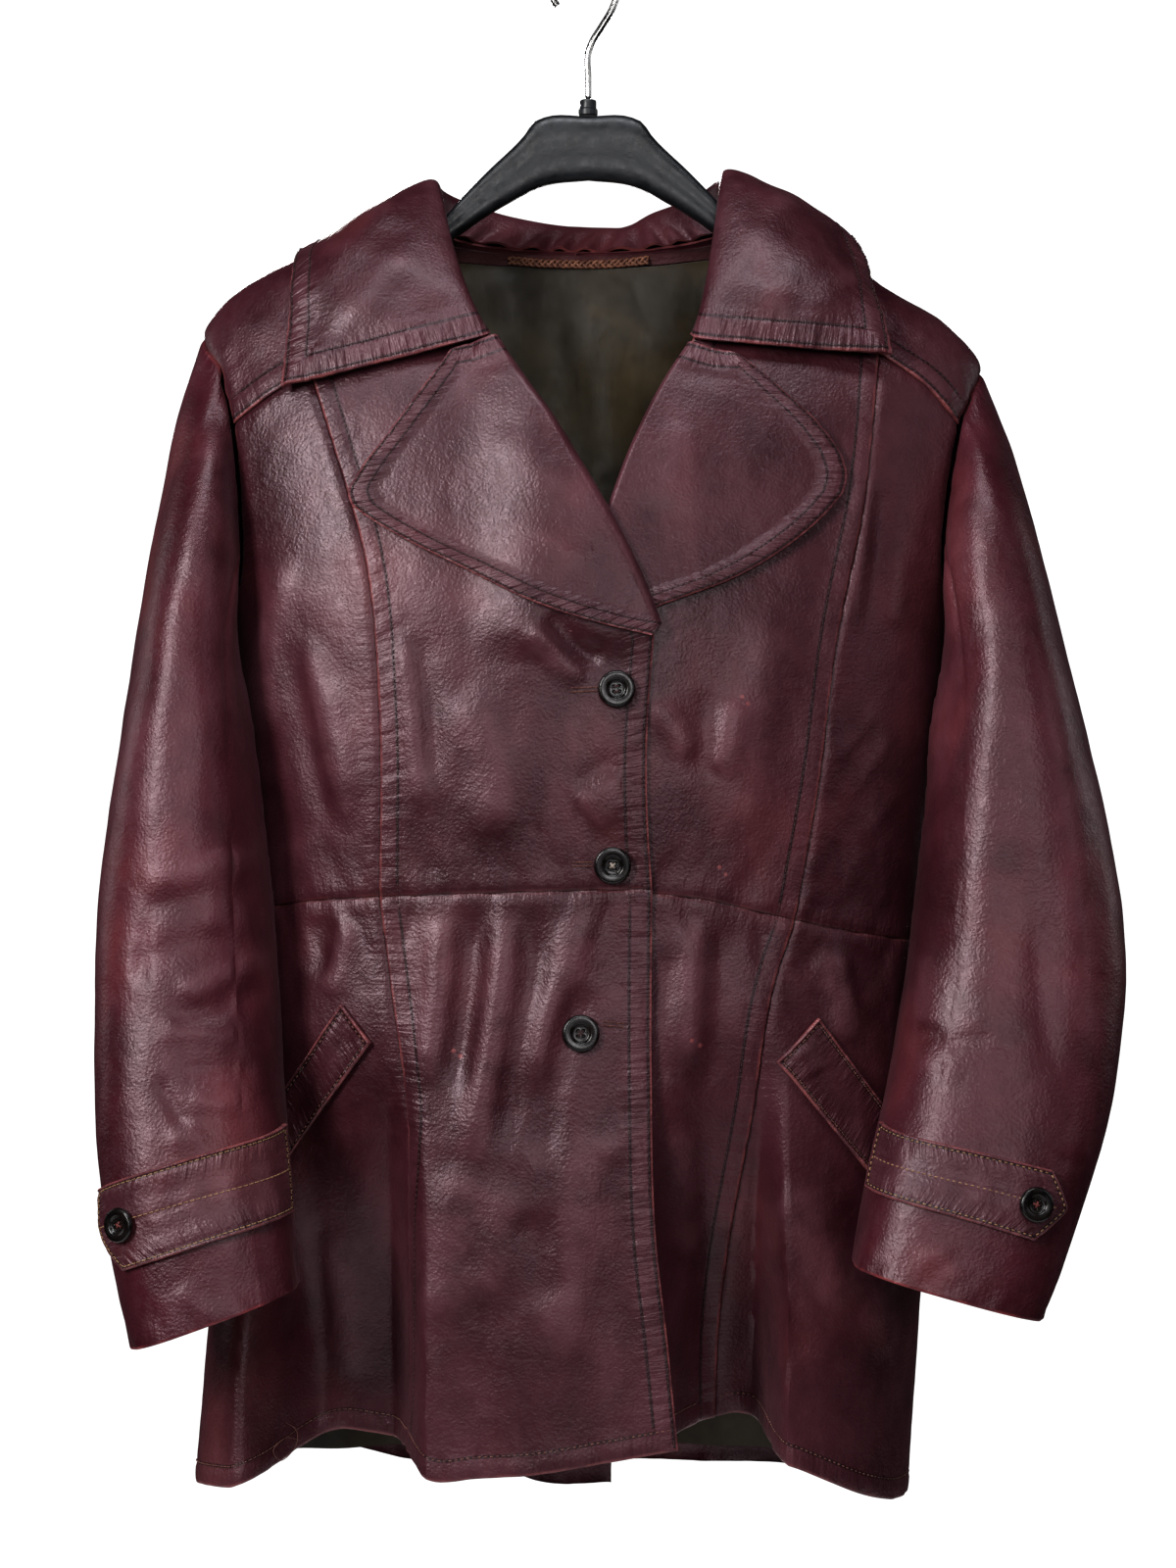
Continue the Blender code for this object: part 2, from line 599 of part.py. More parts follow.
def make_fronts(leather):
    """The upper and lower fronts, their side panels and the yokes, on both sides."""
    for side in ("l", "r"):
        left = side == "l"
        waist_side = WAIST_SIDE_L if left else WAIST_SIDE_R
        underarm = UNDERARM_L if left else UNDERARM_R
        yoke_seam = leg(YOKE_SEAM_L if left else YOKE_SEAM_R, YOKE_CELLS)
        yoke_arm = leg(YOKE_SEAM_L_ARM if left else YOKE_SEAM_R_ARM, YOKE_END_CELLS)
        neck = leg(NECK_FRONT_L if left else NECK_FRONT_R, YOKE_ARM_CELLS)
        princess = leg(PRINCESS_L if left else PRINCESS_R, 12)
        roll = ROLL_L if left else ROLL_R
        gorge = leg(((-78, -205), (-68, -219), roll[0]) if left else ((74, -205), (67, -220), roll[0]), 2)
        edge = chain(gorge, leg(roll, 6), leg(EDGE_L if left else EDGE_R, 4))
        waist = leg(WAIST_FRONT_L if left else WAIST_FRONT_R, YOKE_CELLS)
        waist = waist if left else waist[::-1]
        lift = lap_lift if left else 0.0
        add_panel(f"front_upper_{side}", patch(yoke_seam[::-1], waist, princess, edge), leather, side, lift)

        armhole_low = armhole_leg(side, YOKE_ARM_CELLS, YOKE_ARM_CELLS + FRONT_ARM_CELLS)
        arm_side = chain(armhole_low, side_seam(side, underarm, waist_side, SIDE_CELLS))
        turn = math.pi if left else 0
        waist_arm = leg(WAIST_SIDE_FRONT_L if left else WAIST_SIDE_FRONT_R, YOKE_END_CELLS - 1)
        waist_arm = chain(waist_arm, straight(waist_arm[-1], (turn, waist_side), 1))
        places = patch(yoke_arm[::-1], waist_arm[::-1], arm_side, princess)
        add_panel(f"side_front_upper_{side}", places, leather, side)

        shoulder = SHOULDER_L if left else SHOULDER_R
        ridge = straight((turn, NECK_SIDE), (turn, shoulder), YOKE_CELLS + YOKE_END_CELLS)
        arm_top = armhole_leg(side, 0, YOKE_ARM_CELLS)
        add_panel(f"yoke_{side}", patch(ridge, chain(yoke_seam, yoke_arm), neck, arm_top), leather, side)

        rows = SKIRT_ROWS
        columns = 10 if left else 8
        princess_low = leg(PRINCESS_LOW_L if left else PRINCESS_LOW_R, rows)
        edge_low = leg(EDGE_LOW_L if left else EDGE_LOW_R, rows)
        waist = leg(WAIST_FRONT_L if left else WAIST_FRONT_R[::-1], columns)
        hem = leg(HEM_FRONT_L if left else HEM_FRONT_R[::-1], columns)
        add_panel(f"front_lower_{side}", patch(waist, hem, princess_low, edge_low), leather, side, lift)

        hem_side = HEM_SIDE_L if left else HEM_SIDE_R
        waist_arm = leg(WAIST_SIDE_FRONT_L if left else WAIST_SIDE_FRONT_R, 6)
        waist_arm = chain(waist_arm, straight(waist_arm[-1], (turn, waist_side), 2))
        hem_arm = leg(HEM_SIDE_FRONT_L if left else HEM_SIDE_FRONT_R, 6)
        hem_arm = chain(hem_arm, straight(hem_arm[-1], (turn, hem_side), 2))
        side_low = side_seam(side, waist_side, hem_side, rows)
        add_panel(f"side_front_lower_{side}", patch(waist_arm, hem_arm, princess_low, side_low), leather, side)


BACK_ANGLES = np.arange(ARMHOLE_CELLS, ARMHOLE_CELLS // 2 - 1, -1) * 360 / ARMHOLE_CELLS
BACK_LEVELS = (
    (SHOULDER_L + SHOULDER_R) / 2, (UNDERARM_L + UNDERARM_R) / 2, (WAIST_SIDE_L + WAIST_SIDE_R) / 2,
)


def back_sides(side):
    """The sides of an upper back panel: neck, waist, shoulder with armhole and side, centre."""
    left = side == "l"
    turn = math.pi if left else 2 * math.pi
    middle = 1.5 * math.pi
    shoulder = SHOULDER_L if left else SHOULDER_R
    underarm = UNDERARM_L if left else UNDERARM_R
    waist_side = WAIST_SIDE_L if left else WAIST_SIDE_R
    turns = np.linspace(turn, middle, NECK_CELLS + 1)
    neck = np.stack((turns, neck_back(turns)), -1)
    hole = ARMHOLES[side](BACK_ANGLES)
    hole = hole if left else hole + (2 * math.pi, 0)
    ridge = straight((turn, NECK_SIDE), (turn, shoulder), YOKE_CELLS + YOKE_END_CELLS)
    arm = chain(ridge, hole, straight((turn, underarm), (turn, waist_side), SIDE_CELLS))
    heights = np.concatenate((
        np.linspace(NECK_SIDE, BACK_LEVELS[0], YOKE_CELLS + YOKE_END_CELLS + 1),
        (ARMHOLES["l"](BACK_ANGLES)[1:, 1] + ARMHOLES["r"](BACK_ANGLES)[1:, 1]) / 2,
        np.linspace(*BACK_LEVELS[1:], SIDE_CELLS + 1)[1:],
    ))
    fall = (heights - NECK_SIDE) / (BACK_LEVELS[2] - NECK_SIDE)
    centre = np.stack((middle + 0 * fall, NECK_BACK + fall * (WAIST_BACK - NECK_BACK)), -1)
    waist = straight((turn, waist_side), (middle, WAIST_BACK), NECK_CELLS)
    return neck, waist, arm, centre


def vent_lift(places):
    """How far the left back stands out over the right one beside the vent."""
    x = body(places[..., 0], places[..., 1], "")[..., 0]
    beside = smooth((x - CENTRE_BACK + VENT_EASE) / VENT_EASE)
    return VENT_LIFT * beside * (places[..., 1] < VENT_TOP + 2)


def make_backs(leather):
    """Two upper and two lower back panels; the left lower one laps over the vent."""
    for side in ("l", "r"):
        add_panel(f"back_upper_{side}", patch(*back_sides(side)), leather)
        left = side == "l"
        turn = math.pi if left else 2 * math.pi
        waist_side = WAIST_SIDE_L if left else WAIST_SIDE_R
        hem_side = HEM_SIDE_L if left else HEM_SIDE_R
        waist = straight((turn, waist_side), (1.5 * math.pi, WAIST_BACK), 10)
        rough = leg(HEM_BACK_L if left else HEM_BACK_R[::-1], 8, True)
        hem = chain(straight((turn, hem_side), rough[0], 2), rough)
        centre = leg(((CENTRE_BACK, WAIST_BACK), (CENTRE_BACK, VENT_TOP)), 4, True)
        slant = (VENT_EDGE, VENT_TOP - VENT_SLANT) if left else (CENTRE_BACK, VENT_TOP - VENT_SLANT)
        foot = HEM_BACK_L[-1] if left else HEM_BACK_R[0]
        centre = chain(centre, leg(((CENTRE_BACK, VENT_TOP), slant), 1, True), leg((slant, foot), 7, True))
        centre[0] = waist[-1]
        outer = straight((turn, waist_side), (turn, hem_side), 12)
        lift = vent_lift if left else 0.0
        add_panel(f"back_lower_{side}", patch(waist, hem, outer, centre), leather, out=lift)


def make_sleeves(leather):
    """Each sleeve's upper and under panel, and its tab."""
    for side in ("l", "r"):
        first = BACK_SEAM_CELL - ARMHOLE_CELLS
        add_sleeve(f"sleeve_upper_{side}", side, first, FRONT_SEAM_CELL, leather)
        add_sleeve(f"sleeve_under_{side}", side, FRONT_SEAM_CELL, BACK_SEAM_CELL, leather)
        tab = TAB_L if side == "l" else TAB_R
        start = np.array([on_sleeve(side, *spot) for spot in tab["start"]])
        end = np.array([on_sleeve(side, *spot) for spot in tab["end"]])
        shares = np.linspace(0, 1, TAB_CELLS + 1)
        top, low = through((start[0], end[0]), shares), through((start[1], end[2]), shares)
        tip = chain(straight(end[0], end[1], 2), straight(end[1], end[2], 2))
        places = patch(top, low, straight(start[0], start[1], 4), tip)
        outer = sleeve_skin(side, places, TAB_GAP + DOUBLE_LEATHER + 0 * places[..., 0])
        inner = sleeve_skin(side, places, TAB_GAP + 0 * places[..., 0])
        add_wall(f"sleeve_tab_{side}", outer, inner, leather)


def make_collar(leather, under):
    """The collar's leaf, from its fold over the yokes, and the stand that holds it up."""
    shares = np.linspace(0, 1, COLLAR_COLUMNS + 1)
    keys = np.linspace(0, 1, len(COLLAR_FOLD))
    rows = [profile(np.column_stack((keys, line))) for line in (COLLAR_FOLD, COLLAR_MIDDLE, COLLAR_EDGE)]
    first, middle, last = (row(shares) for row in rows)
    control = 2 * middle - (first + last) / 2
    t = np.linspace(0, 1, COLLAR_ROWS + 1)[:, None, None]
    outer = (1 - t) ** 2 * first + 2 * t * (1 - t) * control + t * t * last
    normal = grid_normals(outer)
    normal *= np.sign(np.sum(normal * (outer - (0, 0, -300)), -1).mean())
    add_wall("collar_leaf", outer, outer - normal * DOUBLE_LEATHER, leather)

    seam = np.array(
        [(turn_at(x, z), z) for x, z in NECK_STATIONS_L]
        + [(turn * math.pi, z) for turn, z in NECK_STATIONS_BACK]
        + [(turn_at(x, z) + 2 * math.pi, z) for x, z in NECK_STATIONS_R]
    )
    foot = profile(np.column_stack((keys, skin(seam, 0, ""))))(shares)
    inward = (0, 0, 0) - first * (1, 1, 0)
    inward /= np.linalg.norm(inward, axis=-1, keepdims=True)
    top = first - normal[0] * (DOUBLE_LEATHER + COLLAR_GAP)
    rise = (top - foot) / np.linalg.norm(top - foot, axis=-1, keepdims=True)
    foot = foot + rise * STAND_RISE + inward * STAND_INSET
    outer = np.stack((foot, (foot + top) / 2, top))
    add_wall("collar_stand", outer, outer + inward * LEATHER, under)


def make_lapels(leather):
    """Each lapel, from its roll line to its edge, resting on the front under it."""
    for side in ("l", "r"):
        left = side == "l"
        gorge = leg(GORGE_L if left else GORGE_R, LAPEL_CELLS)
        roll = leg((GORGE_L[0], *ROLL_L[1:]) if left else (GORGE_R[0], *ROLL_R[1:]), LAPEL_ROLL_CELLS)
        edge = leg(LAPEL_EDGE_L if left else LAPEL_EDGE_R, LAPEL_ROLL_CELLS // 2)
        edge = chain(edge, leg(LAPEL_FOOT_L if left else LAPEL_FOOT_R, LAPEL_ROLL_CELLS // 2))
        places = patch(gorge, straight(roll[-1], edge[-1], LAPEL_CELLS), roll, edge)
        places = trim(places, lambda spots: skin(spots, 0, side))
        rest = lap_lift(places) if left else 0 * places[..., 0]
        across = np.linspace(0, 1, LAPEL_CELLS + 1)[None, :]
        ease = np.linspace(1, 0, len(places))[:, None] ** 0.5
        bulge = LAPEL_BULGE[side] * (1 - smooth(across)) * ease + 0 * places[..., 0]
        inner = rest + LAPEL_GAPS[side] + bulge
        outer = skin(places, inner + DOUBLE_LEATHER, side)
        add_wall(f"lapel_{side}", outer, skin(places, inner, side), leather)


def make_inside(leather, satin, braid):
    """The facing round the back neck, the hanging loop on it and the back's lining."""
    turns = np.linspace(*FACING_TURNS, LINING_COLUMNS + 1) * math.pi
    seam = neck_back(turns)
    facing = np.stack([np.stack((turns, seam - drop), -1) for drop in (FACING_TOP, FACING_HEIGHT)])
    lift = -LEATHER - INSIDE_GAP
    add_wall("neck_facing", skin(facing, lift, ""), skin(facing, lift - LINING, ""), leather)

    turns = np.linspace(*LOOP_TURNS, LOOP_CELLS + 1) * math.pi
    sag = LOOP_SAG * np.sin(np.linspace(0, math.pi, LOOP_CELLS + 1))
    loop = np.stack([np.stack((turns, neck_back(turns) - drop - sag), -1) for drop in LOOP_DROP])
    lift = lift - LINING - LAY_GAP
    add_wall("hanging_loop", skin(loop, lift, ""), skin(loop, lift - LOOP_THICK, ""), braid)

    turns = np.linspace(*FACING_TURNS, LINING_COLUMNS + 1) * math.pi
    top = np.stack((turns, neck_back(turns) - FACING_HEIGHT - LAY_GAP), -1)
    turns = np.linspace(*LINING_HEM_TURNS, LINING_COLUMNS + 1) * math.pi
    low = np.stack((turns, LINING_HEM + 0 * turns), -1)
    spots = [(turn * math.pi, z) for turn, z in LINING_SIDE]
    left = through([tuple(top[0]), *spots, tuple(low[0])], np.linspace(0, 1, LINING_ROWS + 1))
    right = left.copy()
    right[:, 0] = 3 * math.pi - left[:, 0]
    places = patch(top, low, left, right)
    ease = np.linspace(0, 1, LINING_ROWS + 1)[:, None] / LINING_EASE_SHARE
    lift = -LEATHER - INSIDE_GAP - LINING_EASE * smooth(ease) + 0 * places[..., 0]
    add_wall("lining_back", skin(places, lift, ""), skin(places, lift - LINING, ""), satin)


def make_welts(leather):
    """The slanted pocket welts, from their square upper ends down to the side seams."""
    for side, corners in (("l", WELT_L), ("r", WELT_R)):
        high, inner, low, outer = corners
        places = patch(
            leg((high, inner), 3), leg((outer, low), 3), leg((high, outer), 9), leg((inner, low), 9),
        )
        lift = WELT_GAPS[side] + 0 * places[..., 0]
        outer = skin(places, lift + DOUBLE_LEATHER, side)
        add_wall(f"pocket_welt_{side}", outer, skin(places, lift, side), leather)


def turned(profile_points, segments, place, axis):
    """Points and faces of a turned shape: (radius, height) from one pole to the other."""
    axis = np.array(axis) / np.linalg.norm(axis)
    side = np.cross(axis, (0, 0, 1) if abs(axis[2]) < 0.9 else (1, 0, 0))
    side /= np.linalg.norm(side)
    other = np.cross(axis, side)
    angles = np.arange(segments) * 2 * math.pi / segments
    ringed = np.cos(angles)[:, None] * side + np.sin(angles)[:, None] * other
    body_rows = profile_points[1:-1]
    points = [np.array(place) + axis * profile_points[0][1]]
    for radius, height in body_rows:
        points += list(np.array(place) + ringed * radius + axis * height)
    points.append(np.array(place) + axis * profile_points[-1][1])
    last = len(points) - 1
    faces = []
    for k in range(segments):
        nxt = (k + 1) % segments
        faces.append((0, 1 + nxt, 1 + k))
        for row in range(len(body_rows) - 1):
            a = 1 + row * segments
            b = a + segments
            faces.append((a + k, a + nxt, b + nxt, b + k))
        a = 1 + (len(body_rows) - 1) * segments
        faces.append((a + k, a + nxt, last))
    return points, faces


def make_button(name, place, axis, width, horn):
    """A turned button: a raised rim round a dished middle."""
    r, thick = width / 2, BUTTON_THICK
    shape = (
        (0, 0), (r * 0.8, 0), (r, thick * 0.4), (r * 0.96, thick * 0.85), (r * 0.84, thick),
        (r * 0.66, thick * 0.62), (0, thick * 0.5),
    )
    points, faces = turned(shape, BUTTON_SIDES, place, axis)
    add_mesh(name, points, faces, horn, 50)


def make_buttons(horn):
    """Three buttons down the front and one on each sleeve's tab."""
    for number, (x, z, gap) in enumerate(FRONT_BUTTONS, 1):
        place = np.array([[turn_at(x, z), z]])
        lift = lap_lift(place)
        seat = skin(place, lift + gap, "l")[0]
        axis = skin(place, lift + gap + 1, "l")[0] - seat
        make_button(f"button_front_{number}", seat, axis, BUTTON, horn)
    for side, spot in (("l", CUFF_BUTTON_L), ("r", CUFF_BUTTON_R)):
        place = on_sleeve(side, *spot)[None]
        seat = sleeve_skin(side, place, np.array([TAB_GAP + DOUBLE_LEATHER + CUFF_BUTTON_GAP]))[0]
        axis = sleeve_skin(side, place, np.array([10.0]))[0] - seat
        make_button(f"button_cuff_{side}", seat, axis, CUFF_BUTTON, horn)


def make_hanger(plastic, steel):
    """The hanger's bowed beam, lofted through rounded sections, its boss and its wire hook."""
    half = np.linspace(0, 1, HANGER_STATIONS)
    top, foot = through(HANGER_TOP, half), through(HANGER_FOOT, half)
    top = np.vstack((top[:0:-1] * (-1, 1), top))
    foot = np.vstack((foot[:0:-1] * (-1, 1), foot))
    thick = profile(HANGER_HALF)(np.abs(top[:, 0]))
    angles = (np.arange(HANGER_SIDES) + 0.5) * 2 * math.pi / HANGER_SIDES
    power = HANGER_SQUARENESS
    reach = (np.abs(np.cos(angles)) ** power + np.abs(np.sin(angles)) ** power) ** (-1 / power)
    points = []
    for upper, lower, wide in zip(top, foot, thick):
        middle, rise = (upper + lower) / 2, (upper - lower) / 2
        up = reach * np.sin(angles)
        spots = middle + rise * up[:, None]
        points += [(x, wide * r * math.cos(a), z) for (x, z), r, a in zip(spots, reach, angles)]
    faces = []
    for row in range(len(top) - 1):
        for k in range(HANGER_SIDES):
            a, b = row * HANGER_SIDES, (row + 1) * HANGER_SIDES
            nxt = (k + 1) % HANGER_SIDES
            faces.append((a + k, a + nxt, b + nxt, b + k))
    faces.append(tuple(range(HANGER_SIDES))[::-1])
    faces.append(tuple(range(len(points) - HANGER_SIDES, len(points))))
    add_mesh("hanger", points, faces, plastic)

    points, faces = turned(BOSS_PROFILE, BOSS_SIDES, (0, 0, 0), (0, 0, 1))
    add_mesh("hanger_boss", points, faces, plastic)

    start, end = (math.radians(angle) for angle in HOOK_ARC_DEGREES)
    bend = np.linspace(start, end, 17)
    arc = np.array(HOOK_CENTRE) + HOOK_RADIUS * np.stack((np.cos(bend), np.sin(bend)), -1)
    route = through([*HOOK_STEM, *arc], np.linspace(0, 1, HOOK_STATIONS))
    line = bpy.data.curves.new("hook", "CURVE")
    line.dimensions = "3D"
    spline = line.splines.new("POLY")
    spline.points.add(len(route) - 1)
    for spot, (x, z) in zip(spline.points, route):
        spot.co = (x * MM, 0, z * MM, 1)
    line.bevel_depth = WIRE / 2 * MM
    line.bevel_resolution = 2
    line.use_fill_caps = True
    line.materials.append(steel)
    hook = bpy.data.objects.new("hook", line)
    bpy.context.scene.collection.objects.link(hook)


def main():
    for placed in list(bpy.data.objects):
        bpy.data.objects.remove(placed)
    leather = material("burgundy leather", (0.10, 0.022, 0.026), 0.42)
    under = material("inner leather", (0.085, 0.022, 0.024), 0.5)
    satin = material("olive satin", (0.045, 0.036, 0.027), 0.45)
    braid = material("brown braid", (0.12, 0.05, 0.025), 0.7)
    horn = material("dark horn", (0.012, 0.008, 0.008), 0.3)
    plastic = material("black plastic", (0.012, 0.013, 0.015), 0.35)
    steel = material("plated steel", (0.62, 0.6, 0.58), 0.2, 1.0)
    make_fronts(leather)
    make_backs(leather)
    make_sleeves(leather)
    make_collar(leather, under)
    make_lapels(leather)
    make_inside(under, satin, braid)
    make_welts(leather)
    make_buttons(horn)
    make_hanger(plastic, steel)


main()
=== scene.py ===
"""The looks of a worn, buttoned burgundy leather coat on its hanger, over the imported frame.

Shapes are worked out in millimetres and turned to metres when a mesh is made. The coat's form,
seams and sleeves are the source's own, read on finer grids. Each panel then gets its folds, the
pucker and dip along its seams, and its rows of thread. The viewer's left is _l, the right _r.
"""

import math
from collections import namedtuple

import bpy
import numpy as np
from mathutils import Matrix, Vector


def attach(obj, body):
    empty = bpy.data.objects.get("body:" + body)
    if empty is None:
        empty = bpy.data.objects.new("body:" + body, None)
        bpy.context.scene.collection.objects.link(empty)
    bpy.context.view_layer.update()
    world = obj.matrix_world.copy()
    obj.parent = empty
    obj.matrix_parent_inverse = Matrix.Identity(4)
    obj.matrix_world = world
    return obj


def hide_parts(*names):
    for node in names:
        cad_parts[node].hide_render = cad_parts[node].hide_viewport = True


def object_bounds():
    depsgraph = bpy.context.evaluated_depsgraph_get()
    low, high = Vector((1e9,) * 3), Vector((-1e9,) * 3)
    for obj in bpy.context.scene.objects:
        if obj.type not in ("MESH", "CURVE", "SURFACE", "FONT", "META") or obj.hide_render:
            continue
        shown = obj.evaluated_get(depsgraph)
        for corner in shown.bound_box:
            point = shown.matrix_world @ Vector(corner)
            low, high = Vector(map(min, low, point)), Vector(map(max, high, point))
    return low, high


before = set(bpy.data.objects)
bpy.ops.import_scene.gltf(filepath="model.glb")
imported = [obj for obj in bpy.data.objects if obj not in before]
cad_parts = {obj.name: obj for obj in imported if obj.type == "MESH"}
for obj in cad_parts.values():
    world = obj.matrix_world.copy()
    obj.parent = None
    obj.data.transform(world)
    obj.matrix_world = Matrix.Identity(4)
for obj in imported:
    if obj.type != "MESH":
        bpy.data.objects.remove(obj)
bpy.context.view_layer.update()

MM = 0.001
FINE = 12
CELL = 3.4
RIM_STEPS = (0, 0.35, 0.9, 1.8, 3.1, 4.8)

# Cloth and gaps
LEATHER = 1.8
DOUBLE_LEATHER = 2.2
LINING = 1.0
SEAM_TURNING = 3.5
TOUCH = 0.04
LAY_GAP = 0.6

# The coat's outline seen from the front, as (height, x) on each side
LEFT_OUTLINE = (
    (-132, -50), (-150, -88), (-180, -171), (-206, -214), (-226, -227), (-250, -229.5),
    (-281, -227), (-330, -219), (-402, -210), (-480, -203), (-562, -199), (-640, -201),
    (-740, -214), (-810, -224), (-861, -228), (-900, -231), (-935, -233),
)
RIGHT_OUTLINE = (
    (-132, 50), (-150, 88), (-180, 150), (-200, 180), (-217, 209), (-247, 232),
    (-281, 231), (-330, 224), (-405, 214), (-480, 207), (-583, 202), (-680, 200),
    (-787, 196), (-850, 192), (-906, 188), (-935, 187),
)
# How far the front and the back stand out from the side seams, as (height, depth)
FRONT_DEPTH = (
    (-132, 8), (-150, 18), (-165, 30), (-180, 38), (-206, 47), (-235, 60), (-281, 77),
    (-330, 88), (-400, 98), (-480, 100), (-560, 97), (-640, 102), (-740, 107), (-850, 111),
    (-935, 113),
)
BACK_DEPTH = (
    (-132, 10), (-150, 20), (-160, 32), (-168, 42), (-180, 46), (-206, 50), (-235, 53),
    (-281, 59), (-400, 62), (-560, 55), (-700, 64), (-850, 76), (-935, 80),
)
SQUARENESS = 2.4

# The deep folds beside the front panels: depth at the hem, height where each starts, and the
# x range of its near and far slopes
FOLD_DEPTH = 76
FOLD_TOP = -610
FOLD_RISE = 265
FOLD_LEFT = (-206, -152, -114, -90)
FOLD_RIGHT = (14, 72, 95, 113)
BACK_WAVE = 7
BACK_WAVE_PITCH = 112
BACK_WAVE_TOP = -600
BACK_WAVE_RISE = 300

# The viewer's left front laps over the right one
LAP_START = -72
LAP_WIDTH = 45
LAP_LIFT = LEATHER + 0.8
LAPEL_LIFT = 4.4
LAPEL_LIFT_TOP = (-424, -402)
LAP_HIGH = -232
LAP_HIGH_EASE = 30

# Heights and places of the main seams
NECK_SIDE = -150
NECK_BACK = -168
SHOULDER = {"l": -226, "r": -247}
UNDERARM = {"l": -402, "r": -405}
WAIST_SIDE = {"l": -562, "r": -583}
WAIST_BACK = -571
CENTRE_BACK = -5

YOKE_ARM_SEAM_L = ((-160, -252), (-178, -262), (-206, -281))
YOKE_SEAM = {
    "l": ((-78, -205), (-120, -232), (-160, -252)),
    "r": ((74, -205), (120, -222), (168, -241)),
}
YOKE_ARM_SEAM_R = ((168, -241), (196, -260), (216, -281))
NECK_FRONT = {
    "l": ((-88, -150), (-84, -165), (-80.5, -185), (-78, -205)),
    "r": ((88, -150), (83, -165), (78, -185), (74, -205)),
}
PRINCESS = {
    "l": ((-160, -252), (-146, -295), (-126, -364), (-118, -450), (-118, -554)),
    "r": ((168, -241), (157, -332), (143, -398), (129, -500), (117, -567)),
}
PRINCESS_LOW = {
    "l": ((-118, -554), (-111, -607), (-102, -677), (-101.5, -740), (-101, -816), (-104, -872)),
    "r": ((117, -567), (105, -603), (93, -678), (80, -760), (76, -800), (74, -859)),
}
ROLL = {
    "l": ((-56, -232), (-44, -257), (-22, -290), (0, -327), (22, -369), (37, -405)),
    "r": ((60, -235), (45, -262), (28, -296), (9.5, -346), (-14, -402)),
}
FRONT_EDGE = {
    "l": ((37, -405), (33, -470), (34, -521), (36, -549)),
    "r": ((-14, -402), (-16, -480), (-16, -552)),
}
FRONT_EDGE_LOW = {
    "l": ((36, -549), (35.5, -650), (38, -746), (44, -800), (50, -862)),
    "r": ((-16, -552), (-16, -700), (-14, -862)),
}
WAIST_FRONT = {
    "l": ((-118, -554), (-40, -551), (36, -549)),
    "r": ((-16, -552), (50, -553), (117, -567)),
}
WAIST_SIDE_FRONT = {
    "l": ((-118, -554), (-160, -557), (-186, -561)),
    "r": ((117, -567), (145, -573), (187, -580)),
}
HEM_FRONT = {
    "l": ((-104, -872), (-86, -880), (-64, -878), (-28, -875), (8, -869), (50, -862)),
    "r": ((-14, -862), (50, -864), (74, -859)),
}
HEM_SIDE_FRONT = {
    "l": ((-104, -872), (-124, -869), (-146, -868), (-166, -876), (-184, -885), (-206, -893)),
    "r": (
        (74, -859), (88, -857), (99, -861), (107, -871), (120, -877), (138, -886), (158, -896),
        (176, -903),
    ),
}
HEM_SIDE = {"l": -901, "r": -906}
HEM_BACK = {
    "l": ((-190, -895), (-150, -893), (-108, -905), (-50, -912), (-20, -920), (15, -922)),
    "r": ((CENTRE_BACK, -908), (60, -905), (100, -904), (150, -908)),
}

# Armholes, as (degrees round the sleeve, x, height): 0 is the shoulder, 90 the front
ARMHOLE_FRONT = {
    "l": (
        (24, -217.5, -243.5), (48, -211.5, -262.5), (72, -206, -281), (105, -201.5, -325),
        (142, -203, -374),
    ),
    "r": ((24, 227, -258), (48, 221.5, -270), (72, 216, -281), (105, 209, -318), (142, 207, -374)),
}
ARMHOLE_BACK = {
    "l": ((218, -203, -374), (252, -200, -328), (288, -205, -281), (324, -215, -249)),
    "r": ((218, 207, -374), (252, 205, -328), (288, 210, -285), (324, 220, -262)),
}

# Sleeves, as (share of length, x, z) of the outer and inner lines, then (share, y of the
# middle, half depth)
OUTER = {
    "l": (
        (0, -227, -226), (0.1, -241, -275), (0.2, -250, -325), (0.3, -258, -380), (0.45, -269, -470),
        (0.6, -280, -572), (0.75, -278, -660), (0.88, -270, -732), (1, -254, -803),
    ),
    "r": (
        (0, 232, -247), (0.1, 246, -285), (0.2, 257, -325), (0.3, 269, -380), (0.45, 290, -478),
        (0.6, 306, -585), (0.75, 298, -655), (0.88, 279, -718), (1, 253, -787),
    ),
}
INNER = {
    "l": (
        (0, -210, -402), (0.1, -206, -410), (0.2, -200, -430), (0.3, -192, -456), (0.45, -184, -520),
        (0.6, -177, -600), (0.75, -172, -665), (0.88, -166, -718), (1, -161, -769),
    ),
    "r": (
        (0, 214, -405), (0.1, 209, -412), (0.2, 204, -430), (0.3, 199, -452), (0.45, 192, -515),
        (0.6, 183, -590), (0.75, 169, -662), (0.88, 156, -712), (1, 147, -757),
    ),
}
SLEEVE_DEPTH = (
    (0, 0, 36), (0.1, -8, 60), (0.2, -16, 71), (0.3, -27, 73), (0.45, -46, 66), (0.6, -65, 56),
    (0.75, -84, 50), (0.88, -101, 45), (1, -114, 40),
)
SLEEVE_SQUARENESS = (2.0, 2.7)
SLEEVE_SEAT = 0.5
SLEEVE_CLEAR = 5.4
SLEEVE_CLEAR_BY = 0.07
ARMHOLE_CELLS = 20
YOKE_ARM_CELLS = 4
YOKE_CELLS = 6
YOKE_END_CELLS = 3
FRONT_ARM_CELLS = 6
SIDE_CELLS = 6
SKIRT_ROWS = 11
FRONT_SEAM_CELL = 7
BACK_SEAM_CELL = 15

